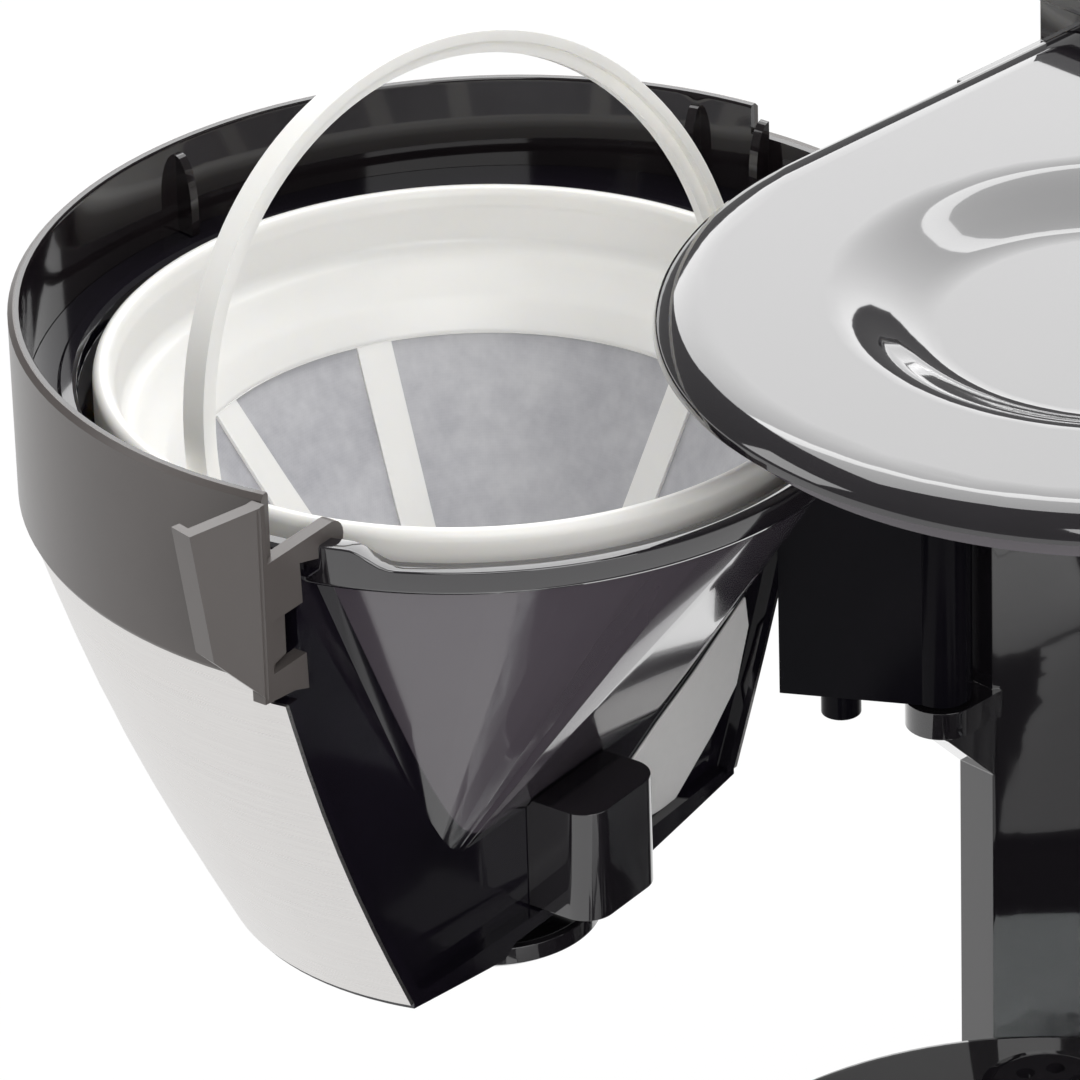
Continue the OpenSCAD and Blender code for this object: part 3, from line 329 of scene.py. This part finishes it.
def make_dusty():
    """A thin veil of dust where a surface faces up."""
    group, given, made = new_group(
        "dusty", [("Place", "Vector", None), ("Amount", "Float", 0.05)], [("Mask", "Float")])
    facing = group.nodes.new("ShaderNodeNewGeometry")
    parts = group.nodes.new("ShaderNodeSeparateXYZ")
    group.links.new(facing.outputs["Normal"], parts.inputs[0])
    up = spread_of(group, parts.outputs[2], 0.5, 1.0, 0.0, 1.0)
    specks = spread_of(group, noise_of(group, given.outputs["Place"], 1400.0, 2.0, 0.7), 0.55, 0.8, 0.0, 1.0)
    veil = noise_of(group, given.outputs["Place"], 60.0, 4.0)
    both = result_of(group, "MULTIPLY", up, result_of(group, "MULTIPLY_ADD", veil, 0.35, specks))
    group.links.new(result_of(group, "MULTIPLY", both, given.outputs["Amount"]), made.inputs["Mask"])
    return group


handled = make_handled()
moulded = make_moulded()
toned = make_toned()
round_about = make_round_about()
brushed = make_brushed()
woven = make_woven()
dusty = make_dusty()


# ---------------------------------------------------------------- materials

HINGE = (-0.0728, 0.0357)
BRIM_Z = 0.302
SWING = math.radians(81.0)
basket_place = (Matrix.Translation((HINGE[0], HINGE[1], BRIM_Z)) @ Matrix.Rotation(-SWING, 4, "Z")
                @ Matrix.Translation((-HINGE[0], -HINGE[1], 0.0)))
BASKET_AXIS = basket_place @ Vector((0.0, 0.0, 0.0))
FLAT_BACK = 0.013                        # how far behind its axis the basket is cut off flat
BAND_SKIN = 0.0759                       # distance from the basket's axis where the band's outside begins
END_PLATE_X = 0.0505                     # how far to the side the band's end plate begins
END_PLATE_DEPTH = 0.003                  # how far the end plate's satin reaches in from the flat back
CONE_EDGE_X = -0.05725                   # where the cone ends on the hinge's side


class Finish:
    """A material with its Principled shader, and the place that its patterns read."""

    def __init__(self, name, centre=(0.0, 0.0, 0.0), **settings):
        self.material = bpy.data.materials.new(name)
        self.material.use_nodes = True
        self.tree = self.material.node_tree
        self.shader = self.tree.nodes["Principled BSDF"]
        for label, value in settings.items():
            self.shader.inputs[label.replace("_", " ")].default_value = value
        where = self.tree.nodes.new("ShaderNodeTexCoord")
        centring = self.tree.nodes.new("ShaderNodeMapping")
        centring.inputs["Location"].default_value = [-number for number in centre]
        self.tree.links.new(where.outputs["Object"], centring.inputs["Vector"])
        self.place = centring.outputs["Vector"]

    def shut_place(self):
        """The place as it is on the basket when shut, in its three parts."""
        turned = self.tree.nodes.new("ShaderNodeVectorRotate")
        turned.rotation_type = "Z_AXIS"
        turned.inputs["Angle"].default_value = SWING
        where = self.tree.nodes.new("ShaderNodeTexCoord")
        centring = self.tree.nodes.new("ShaderNodeMapping")
        centring.inputs["Location"].default_value = (-HINGE[0], -HINGE[1], -BRIM_Z)
        self.tree.links.new(where.outputs["Object"], centring.inputs["Vector"])
        self.tree.links.new(centring.outputs["Vector"], turned.inputs["Vector"])
        back = self.tree.nodes.new("ShaderNodeMapping")
        back.inputs["Location"].default_value = (HINGE[0], HINGE[1], 0.0)
        self.tree.links.new(turned.outputs["Vector"], back.inputs["Vector"])
        parts = self.tree.nodes.new("ShaderNodeSeparateXYZ")
        self.tree.links.new(back.outputs["Vector"], parts.inputs[0])
        return parts

    def use(self, group, **values):
        """Places a group in this material, fed by the material's place unless another is given."""
        node = self.tree.nodes.new("ShaderNodeGroup")
        node.node_tree = group
        values.setdefault("Place", self.place)
        for label, value in values.items():
            feed(self.tree, value, node.inputs[label])
        return node.outputs

    def colour(self, value):
        feed(self.tree, value, self.shader.inputs["Base Color"])

    def rough(self, value):
        feed(self.tree, value, self.shader.inputs["Roughness"])

    def relief(self, height, depth, strength=1.0):
        bump = self.tree.nodes.new("ShaderNodeBump")
        bump.inputs["Distance"].default_value = depth
        bump.inputs["Strength"].default_value = strength
        feed(self.tree, height, bump.inputs["Height"])
        self.tree.links.new(bump.outputs["Normal"], self.shader.inputs["Normal"])


def rgba(red, green, blue):
    return (red, green, blue, 1.0)


DUST = rgba(0.55, 0.53, 0.5)


def plastic(name, main, second, rough, spread=0.04, peel=450.0, depth=0.0000015, dust=0.02, coat=0.0,
            **settings):
    """A moulded plastic: two close tones, wandering gloss, orange peel and a trace of dust."""
    finish = Finish(name, Coat_Weight=coat, Coat_Roughness=0.03, **settings)
    colour = finish.use(toned, Main=rgba(*main), Second=rgba(*second), Size=35.0)["Color"]
    veil = finish.use(dusty, Amount=dust)["Mask"]
    finish.colour(blend_of(finish.tree, veil, colour, DUST))
    finish.rough(finish.use(handled, Roughness=rough, Spread=spread, Size=28.0)["Roughness"])
    finish.relief(finish.use(moulded, Size=peel, Wave=0.3)["Height"], depth)
    return finish.material


def band_plastic():
    """The band: satin brown-grey on its outside and its end plate, gloss black inside and on its fins."""
    finish = Finish("band_grey", centre=BASKET_AXIS, Coat_IOR=1.5, IOR=1.5)
    ring = finish.use(round_about)["Distance"]
    shut = finish.shut_place()
    skin = spread_of(finish.tree, ring, BAND_SKIN - 0.0002, BAND_SKIN + 0.0002, 0.0, 1.0)
    plate_y = FLAT_BACK - END_PLATE_DEPTH
    behind = spread_of(finish.tree, shut.outputs[1], plate_y - 0.0002, plate_y + 0.0002, 0.0, 1.0)
    beside = spread_of(finish.tree, shut.outputs[0], END_PLATE_X - 0.0005, END_PLATE_X + 0.0005, 0.0, 1.0)
    outside = either(finish.tree, skin, result_of(finish.tree, "MULTIPLY", behind, beside))
    satin = finish.use(toned, Main=rgba(0.092, 0.081, 0.077), Second=rgba(0.103, 0.091, 0.086),
                       Size=25.0)
    gloss = finish.use(toned, Main=rgba(0.01, 0.008, 0.009), Second=rgba(0.013, 0.01, 0.011), Size=30.0)
    finish.colour(blend_of(finish.tree, outside, gloss["Color"], satin["Color"]))
    rough = finish.use(handled, Roughness=0.07, Spread=0.04, Size=25.0)["Roughness"]
    matt = finish.use(handled, Roughness=0.3, Spread=0.05, Size=25.0)["Roughness"]
    finish.rough(spread_of(finish.tree, outside, 0.0, 1.0, rough, matt))
    coat = spread_of(finish.tree, outside, 0.0, 1.0, 0.3, 0.0)
    feed(finish.tree, coat, finish.shader.inputs["Coat Weight"])
    finish.relief(finish.use(moulded, Size=700.0, Wave=0.2)["Height"], 0.0000012)
    return finish.material


def funnel_black_with_painted_light():
    """The basket's moulding: deep black, painted a lighter violet-grey where the cone stands out of the flat
    back, as painted light from the floor on the same black moulding.
    """
    finish = Finish("inner_black", Coat_Weight=0.6, Coat_Roughness=0.03, Coat_IOR=1.5)
    shut = finish.shut_place()
    behind = spread_of(finish.tree, shut.outputs[1], FLAT_BACK + 0.0001, FLAT_BACK + 0.0004, 0.0, 1.0)
    beside = spread_of(finish.tree, shut.outputs[0], CONE_EDGE_X - 0.00025, CONE_EDGE_X + 0.00025, 0.0, 1.0)
    # painted light: the cone's lighter violet-grey stands in for the floor's light on the black moulding
    cone = result_of(finish.tree, "MULTIPLY", behind, beside)
    wall = finish.use(toned, Main=rgba(0.006, 0.005, 0.008), Second=rgba(0.008, 0.006, 0.011), Size=30.0)
    violet_painted_light = finish.use(toned, Main=rgba(0.078, 0.066, 0.08), Second=rgba(0.085, 0.073, 0.086), Size=22.0)
    finish.colour(blend_of(finish.tree, cone, wall["Color"], violet_painted_light["Color"]))
    finish.rough(finish.use(handled, Roughness=0.1, Spread=0.04, Size=28.0)["Roughness"])
    finish.relief(finish.use(moulded, Size=450.0, Wave=0.3)["Height"], 0.0000015)
    return finish.material


def steel(name, main, second, rough, centre=None, depth=0.000004, along=2.5, across=2600.0):
    """Brushed steel. With a centre its grain runs round the upright axis there."""
    finish = Finish(name, centre=centre or (0.0, 0.0, 0.0), Metallic=1.0)
    place = finish.use(round_about)["Place"] if centre else finish.place
    grain = finish.use(brushed, Place=place, Along=along, Across=across)
    finish.colour(blend_of(finish.tree, spread_of(finish.tree, grain["Grain"], 0.3, 0.7, 0.0, 1.0),
                           rgba(*main), rgba(*second)))
    finish.rough(spread_of(finish.tree, grain["Grain"], 0.3, 0.7, rough - 0.05, rough + 0.05))
    finish.relief(grain["Grain"], depth)
    return finish.material


def pale():
    """A pale satin colour for the strip beside the cone, as a painted reflection on the cone's black flank,
    with streaks that run down it.
    """
    finish = Finish("reflection_paint", Coat_Weight=0.15)
    grain = finish.use(brushed, Along=180.0, Across=500.0)
    finish.colour(blend_of(finish.tree, grain["Grain"], rgba(0.88, 0.87, 0.86), rgba(0.95, 0.94, 0.93)))
    finish.rough(spread_of(finish.tree, grain["Grain"], 0.3, 0.7, 0.4, 0.5))
    finish.relief(grain["Cloud"], 0.00002)
    return finish.material


def shaded_black():
    """The hinge arm's black, less glossy than the rest."""
    finish = Finish("shaded_black", Specular_IOR_Level=0.06)
    finish.colour(finish.use(toned, Main=rgba(0.004, 0.004, 0.006), Second=rgba(0.007, 0.006, 0.009),
                             Size=30.0)["Color"])
    finish.rough(finish.use(handled, Roughness=0.14, Spread=0.05, Size=28.0)["Roughness"])
    finish.relief(finish.use(moulded, Size=450.0, Wave=0.3)["Height"], 0.0000015)
    return finish.material


def gauze():
    """Nylon filter mesh, grey-lilac, with cloudy stains."""
    finish = Finish("mesh", Sheen_Weight=0.15, Sheen_Roughness=0.4)
    weave = finish.use(woven, Pitch=0.0004)
    clear = blend_of(finish.tree, weave["Patch"], rgba(0.4, 0.4, 0.43), rgba(0.56, 0.56, 0.58))
    lit = spread_of(finish.tree, weave["Thread"], -1.0, 1.0, 0.0, 0.1)
    finish.colour(blend_of(finish.tree, lit, clear, rgba(0.68, 0.68, 0.7)))
    finish.rough(spread_of(finish.tree, weave["Patch"], 0.0, 1.0, 0.4, 0.6))
    finish.relief(weave["Thread"], 0.00001, 0.3)
    return finish.material


def glass():
    """Clear blown glass with a slight unevenness."""
    finish = Finish("glass", Transmission_Weight=1.0, IOR=1.47)
    finish.colour(finish.use(toned, Main=rgba(0.96, 0.98, 0.98), Second=rgba(0.93, 0.965, 0.965),
                             Size=12.0)["Color"])
    finish.rough(finish.use(handled, Roughness=0.02, Spread=0.01, Size=20.0)["Roughness"])
    finish.relief(finish.use(moulded, Size=60.0, Wave=0.5)["Height"], 0.00001)
    return finish.material


def white_plastic():
    """Creamy polypropylene that lets a little light in."""
    finish = Finish("white_plastic", Subsurface_Weight=0.25, Subsurface_Scale=0.002,
                    Subsurface_Radius=(1.0, 0.9, 0.7))
    finish.colour(finish.use(toned, Main=rgba(0.93, 0.92, 0.89), Second=rgba(0.91, 0.9, 0.865),
                             Size=30.0)["Color"])
    finish.rough(finish.use(handled, Roughness=0.32, Spread=0.08, Size=35.0)["Roughness"])
    finish.relief(finish.use(moulded, Size=350.0, Wave=0.5)["Height"], 0.000004)
    return finish.material


by_slot = {
    "gloss_black": plastic("gloss_black", (0.012, 0.0105, 0.013), (0.015, 0.013, 0.016), 0.07, coat=1.0,
                           Coat_IOR=1.6),
    "inner_black": funnel_black_with_painted_light(),
    "band_grey": band_plastic(),
    "steel_cladding": steel("steel_cladding", (0.64, 0.625, 0.615), (0.72, 0.705, 0.69), 0.3,
                            centre=BASKET_AXIS),
    "steel_parts": steel("steel_parts", (0.6, 0.6, 0.61), (0.7, 0.7, 0.71), 0.2),
    "white_plastic": white_plastic(),
    "mesh": gauze(),
    "grey_plastic": plastic("grey_plastic", (0.2, 0.215, 0.235), (0.23, 0.245, 0.265), 0.25, dust=0.0),
    "natural_silicone": plastic("natural_silicone", (0.8, 0.77, 0.7), (0.74, 0.71, 0.64), 0.4, peel=200.0,
                                depth=0.000004, dust=0.0),
    "rubber": plastic("rubber", (0.02, 0.02, 0.021), (0.03, 0.03, 0.031), 0.6, peel=900.0, depth=0.000006),
    "aluminium": steel("aluminium", (0.6, 0.61, 0.63), (0.74, 0.75, 0.77), 0.34, along=300.0, across=900.0),
    "hotplate": plastic("hotplate", (0.03, 0.03, 0.032), (0.045, 0.044, 0.044), 0.38, spread=0.12,
                        peel=1200.0, depth=0.000006),
    "ceramic": plastic("ceramic", (0.76, 0.73, 0.65), (0.7, 0.67, 0.58), 0.35, dust=0.0),
    "lamp": plastic("lamp", (0.5, 0.04, 0.02), (0.42, 0.03, 0.015), 0.15, dust=0.0, coat=0.5),
    "glass": glass(),
}
reflection_paint = pale()
arm_black = shaded_black()
slot_of = {part["node"]: part["material_slot"] for part in frame["record"]["subparts"]}
body_of = {name: node["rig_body"] for name, node in nodes.items()}
for node_name, node in nodes.items():
    node.data.materials.clear()
    node.data.materials.append(by_slot[slot_of[node_name]])


# ---------------------------------------------------------------- modelling helpers

MILLIMETRE = 0.001                       # in metres


def alone(piece):
    """Makes a piece the only selected one, and the active one."""
    bpy.ops.object.select_all(action="DESELECT")
    piece.select_set(True)
    bpy.context.view_layer.objects.active = piece


def apply(piece, kind, **settings):
    """Adds a modifier with these settings and applies it."""
    alone(piece)
    modifier = piece.modifiers.new(kind.lower(), kind)
    for label, value in settings.items():
        setattr(modifier, label, value)
    bpy.ops.object.modifier_apply(modifier=modifier.name)


def smooth(piece, degrees=38.0):
    """Smooth shading, with an edge kept sharp where it turns by more than these degrees."""
    alone(piece)
    bpy.ops.object.shade_smooth_by_angle(angle=math.radians(degrees))
    apply(piece, "WEIGHTED_NORMAL", mode="FACE_AREA_WITH_ANGLE", weight=60, keep_sharp=True)


def settle(piece, place):
    """Moves a piece from where it was drawn to its place, and puts that place in its mesh."""
    alone(piece)
    piece.matrix_world = place @ piece.matrix_world
    bpy.ops.object.transform_apply(location=True, rotation=True, scale=True)


def stand_for(piece, *replaced):
    """A finished piece rides on the body of the nodes that it replaces, in their material slot."""
    slot = slot_of[replaced[0]]
    piece.data.materials.clear()
    piece.data.materials.append(by_slot[slot])
    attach(piece, body_of[replaced[0]])
    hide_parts(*replaced)


def refined(name, node_name, round_off=0.0, degrees=38.0, cut=None):
    """A copy of a CAD node with its triangles merged, its edges rounded off and its curves smooth."""
    bpy.ops.object.select_all(action="DESELECT")
    piece = nodes[node_name].copy()
    piece.data = nodes[node_name].data.copy()
    piece.name = name
    for label in list(piece.keys()):
        if label.startswith("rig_"):
            del piece[label]
    piece.parent = None
    bpy.context.scene.collection.objects.link(piece)
    alone(piece)
    bpy.ops.object.mode_set(mode="EDIT")
    bpy.ops.mesh.select_all(action="SELECT")
    bpy.ops.mesh.customdata_custom_splitnormals_clear()
    bpy.ops.mesh.remove_doubles(threshold=0.000002)
    bpy.ops.mesh.dissolve_limited(angle_limit=math.radians(0.5))
    bpy.ops.object.mode_set(mode="OBJECT")
    if cut:
        cut_by(piece, box_at(*cut))
    if round_off:
        apply(piece, "BEVEL", width=round_off, segments=2, limit_method="ANGLE",
              angle_limit=math.radians(degrees))
    smooth(piece, degrees)
    stand_for(piece, node_name)
    return piece


def finished(piece, round_off, place):
    """Rounds a hand-made piece's edges off, smooths it and puts it in its place."""
    apply(piece, "BEVEL", width=round_off * MILLIMETRE, segments=2, limit_method="ANGLE",
          angle_limit=math.radians(50))
    smooth(piece, 50.0)
    settle(piece, place)


def first_point(name, place):
    """A mesh of one vertex, from which an outline is drawn. Left in edit mode."""
    bpy.ops.object.select_all(action="DESELECT")
    bpy.ops.mesh.primitive_plane_add(size=0.002)
    piece = bpy.context.object
    piece.name = name
    bpy.ops.object.mode_set(mode="EDIT")
    bpy.ops.mesh.select_all(action="SELECT")
    bpy.ops.mesh.merge(type="CENTER")
    bpy.ops.transform.translate(value=place)
    return piece


def outline(name, points):
    """A closed outline, drawn point by point. Left in edit mode with all of it selected."""
    piece = first_point(name, points[0])
    for start, end in zip(points, points[1:]):
        bpy.ops.mesh.extrude_region_move(TRANSFORM_OT_translate={"value": Vector(end) - Vector(start)})
    bpy.ops.mesh.select_all(action="SELECT")
    bpy.ops.mesh.edge_face_add()
    return piece


def turned(name, profile, degrees=360.0, steps=160, from_degrees=0.0):
    """A closed profile of radius and height in millimetres, spun about the upright axis."""
    angle = math.radians(from_degrees)
    points = [(r / 1000 * math.cos(angle), r / 1000 * math.sin(angle), z / 1000) for r, z in profile]
    piece = outline(name, points)
    if degrees >= 360.0:
        bpy.ops.mesh.delete(type="ONLY_FACE")
        bpy.ops.mesh.select_all(action="SELECT")
    bpy.ops.mesh.spin(steps=steps, angle=math.radians(degrees), center=(0.0, 0.0, 0.0),
                      axis=(0.0, 0.0, -1.0))
    bpy.ops.mesh.select_all(action="SELECT")
    bpy.ops.mesh.remove_doubles(threshold=0.000005)
    bpy.ops.mesh.normals_make_consistent(inside=False)
    bpy.ops.object.mode_set(mode="OBJECT")
    return piece


def plate(name, points, thick):
    """A flat outline in the XZ plane in millimetres, made thick towards the front."""
    piece = outline(name, [(x / 1000, 0.0, z / 1000) for x, z in points])
    bpy.ops.mesh.extrude_region_move(TRANSFORM_OT_translate={"value": (0.0, -thick / 1000, 0.0)})
    bpy.ops.mesh.select_all(action="SELECT")
    bpy.ops.mesh.normals_make_consistent(inside=False)
    bpy.ops.object.mode_set(mode="OBJECT")
    return piece


def cut_by(piece, cutter):
    """Takes the cutter out of a piece and removes the cutter."""
    apply(piece, "BOOLEAN", operation="DIFFERENCE", object=cutter, solver="EXACT")
    bpy.data.objects.remove(cutter)


def added(piece, carried_by, slot):
    """A finished piece with no node of its own rides with its carrier."""
    piece.data.materials.clear()
    piece.data.materials.append(by_slot[slot])
    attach(piece, body_of[carried_by])


FUNNEL_SHIFT = 0.005                     # how far in front of the basket's axis the funnel's is
FILTER_TURN = math.radians(12.5)         # how far the filter is turned in the funnel
funnel_place = basket_place @ Matrix.Translation((0.0, -FUNNEL_SHIFT, 0.0))
filter_place = funnel_place @ Matrix.Rotation(-FILTER_TURN, 4, "Z")

# Measures of the hand-made pieces. Profiles are radius and height in millimetres, with height 0 at the
# brim. The strip of painted reflection and the catch are outlines as seen from behind the shut basket,
# across and up.
RIM_PROFILE = [(47.9, -34.0), (57.4, -22.8), (58.4, -21.9), (60.0, -21.5), (60.4, -20.9), (60.4, -14.9),
               (60.1, -13.9), (59.4, -13.2), (58.6, -13.1), (57.9, -13.5), (57.4, -14.4), (57.1, -15.6),
               (56.6, -16.4), (56.5, -21.2), (56.0, -22.2), (54.6, -23.3), (53.9, -23.6), (53.2, -24.7),
               (50.4, -28.1), (49.7, -28.4), (49.0, -29.6), (46.4, -33.2), (46.4, -34.0)]
LIP_PROFILE = [(63.0, -21.2), (63.0, -17.1), (63.3, -16.8), (66.0, -16.8), (66.4, -17.2), (66.3, -20.2),
               (65.9, -20.9), (64.4, -21.4)]
LIP_FROM, LIP_ARC = 12.9, 153.0          # where the lip begins, and how far round it runs, in degrees
LIP_HUMP = 0.003                         # in metres, how high the lip steps up beside the hook
LIP_HUMP_END, LIP_HUMP_FADE = 26.0, 6.5  # where along the lip it has come down, and over how many degrees
LIP_FOOT = -18.0                         # what lies above this height rises with the hump
EYE_R, EYE_Z = 1.25, -18.2               # the holes that hold the bail's pins
EYE_REACH = 117.4
# the strip of painted reflection: how thick it is, and how far behind the basket's axis it stands
REFLECTION_STRIP_THICK, REFLECTION_STRIP_Y = 0.6, 11.08
CATCH_THICK, CATCH_Y = 1.6, 12.4
CATCH = [(71.9, -21.0), (75.8, -21.0), (75.8, -29.9), (71.9, -29.0)]
# outline of the pale strip that is a painted reflection on the cone's flank
REFLECTION_STRIP = [(-51.6, -77.2), (-52.4, -83.0), (-48.6, -92.5), (-41.5, -98.5), (-30.0, -106.0), (-21.5, -105.4),
          (-15.5, -102.8), (-11.0, -97.0), (-16.5, -93.6), (-26.0, -89.0), (-36.5, -84.6), (-46.6, -79.6)]


def make_filter_rim():
    """The filter's thick rounded rim with its stepped inner wall, down to the mesh."""
    rim = turned("filter_rim", RIM_PROFILE)
    bpy.ops.object.select_all(action="DESELECT")
    bpy.ops.mesh.primitive_cylinder_add(radius=EYE_R * MILLIMETRE, depth=EYE_REACH * MILLIMETRE, vertices=24,
                                        location=(0.0, 0.0, EYE_Z * MILLIMETRE),
                                        rotation=(0.0, math.pi / 2, 0.0))
    cut_by(rim, bpy.context.object)
    smooth(rim, 50.0)
    settle(rim, filter_place)
    added(rim, "filter_frame", "white_plastic")


def make_funnel_lip():
    """The lip round the funnel's open mouth, which rises in a soft step beside the hook."""
    lip = turned("funnel_lip", LIP_PROFILE, LIP_ARC, 150, LIP_FROM)
    for corner in lip.data.vertices:
        angle = math.degrees(math.atan2(corner.co.y, corner.co.x))
        share = min(max((LIP_HUMP_END - angle) / LIP_HUMP_FADE, 0.0), 1.0)
        if corner.co.z > LIP_FOOT * MILLIMETRE:
            corner.co.z += LIP_HUMP * share * share * (3 - 2 * share)
    finished(lip, 0.25, funnel_place)
    added(lip, "funnel", "inner_black")
    lip.data.materials[0] = by_slot["gloss_black"]


def make_painted_reflection_strip():
    """A pale strip beside the cone, put there as a painted reflection on the cone's flank."""
    painted_strip = plate("cone_painted_reflection", REFLECTION_STRIP, REFLECTION_STRIP_THICK)
    finished(painted_strip, 0.25, basket_place @ Matrix.Translation((0.0, REFLECTION_STRIP_Y * MILLIMETRE, 0.0)))
    added(painted_strip, "funnel", "steel_cladding")
    painted_strip.data.materials[0] = reflection_paint


def make_catch():
    """The sprung catch that shows in the window of the band's end plate."""
    catch = plate("band_catch", CATCH, CATCH_THICK)
    finished(catch, 0.3, basket_place @ Matrix.Translation((0.0, CATCH_Y * MILLIMETRE, 0.0)))
    added(catch, "band", "band_grey")


def box_at(low, high, place):
    """A plain box between two corners in millimetres, to cut with."""
    bpy.ops.object.select_all(action="DESELECT")
    low, high = Vector(low) / 1000, Vector(high) / 1000
    bpy.ops.mesh.primitive_cube_add(size=1.0, location=(low + high) / 2, scale=high - low)
    box = bpy.context.object
    settle(box, place)
    return box


ROUNDED = {
    # node: (piece, how far its edges are rounded off)
    "funnel": ("funnel_moulding", 0.0002),
    "band": ("band_moulding", 0.0003),
    "cladding": ("cladding_sheet", 0.0),
    "hinge_arm": ("hinge_arm_moulding", 0.0003),
    "valve_guard": ("valve_cover", 0.0003),
    "valve_foot": ("valve_plunger", 0.0002),
    "filter_mesh": ("filter_gauze", 0.0),
    "filter_frame": ("filter_moulding", 0.0002),
    "bail": ("bail_arch", 0.0004),
    "top_lid": ("lid_moulding", 0.0),
    "tank_flap": ("flap_moulding", 0.0006),
    "hump_shell": ("hump_moulding", 0.0004),
    "rear_housing": ("column_moulding", 0.0005),
    "head_tray": ("tray_moulding", 0.0003),
    "base_shell": ("base_moulding", 0.0004),
    "jug_glass": ("jug_body", 0.0),
    "jug_lid": ("jug_cap", 0.0),
    "jug_collar": ("jug_band", 0.0002),
    "jug_handle": ("jug_grip", 0.0012),
    "hotplate": ("hotplate_pressing", 0.0),
    "feet": ("rubber_feet", 0.0003),
    "switch_bezel": ("switch_surround", 0.0003),
    "rocker": ("switch_rocker", 0.0003),
    "lamp_lens": ("lamp_dome", 0.0),
}
CUTS = {
    # node: what is cut off its copy, because a piece below stands there
    "funnel": ((-90.0, 13.3, -18.6), (90.0, 90.0, 5.0), basket_place),
    "filter_frame": ((-70.0, -70.0, -33.9), (70.0, 70.0, 5.0), filter_place),
}
for node_name, (piece_name, round_off) in ROUNDED.items():
    refined(piece_name, node_name, round_off, cut=CUTS.get(node_name))
bpy.data.objects["hinge_arm_moulding"].data.materials[0] = arm_black
make_filter_rim()
make_funnel_lip()
make_painted_reflection_strip()
make_catch()


bpy.context.scene.view_settings.view_transform = "Standard"
bpy.ops.object.select_all(action="DESELECT")
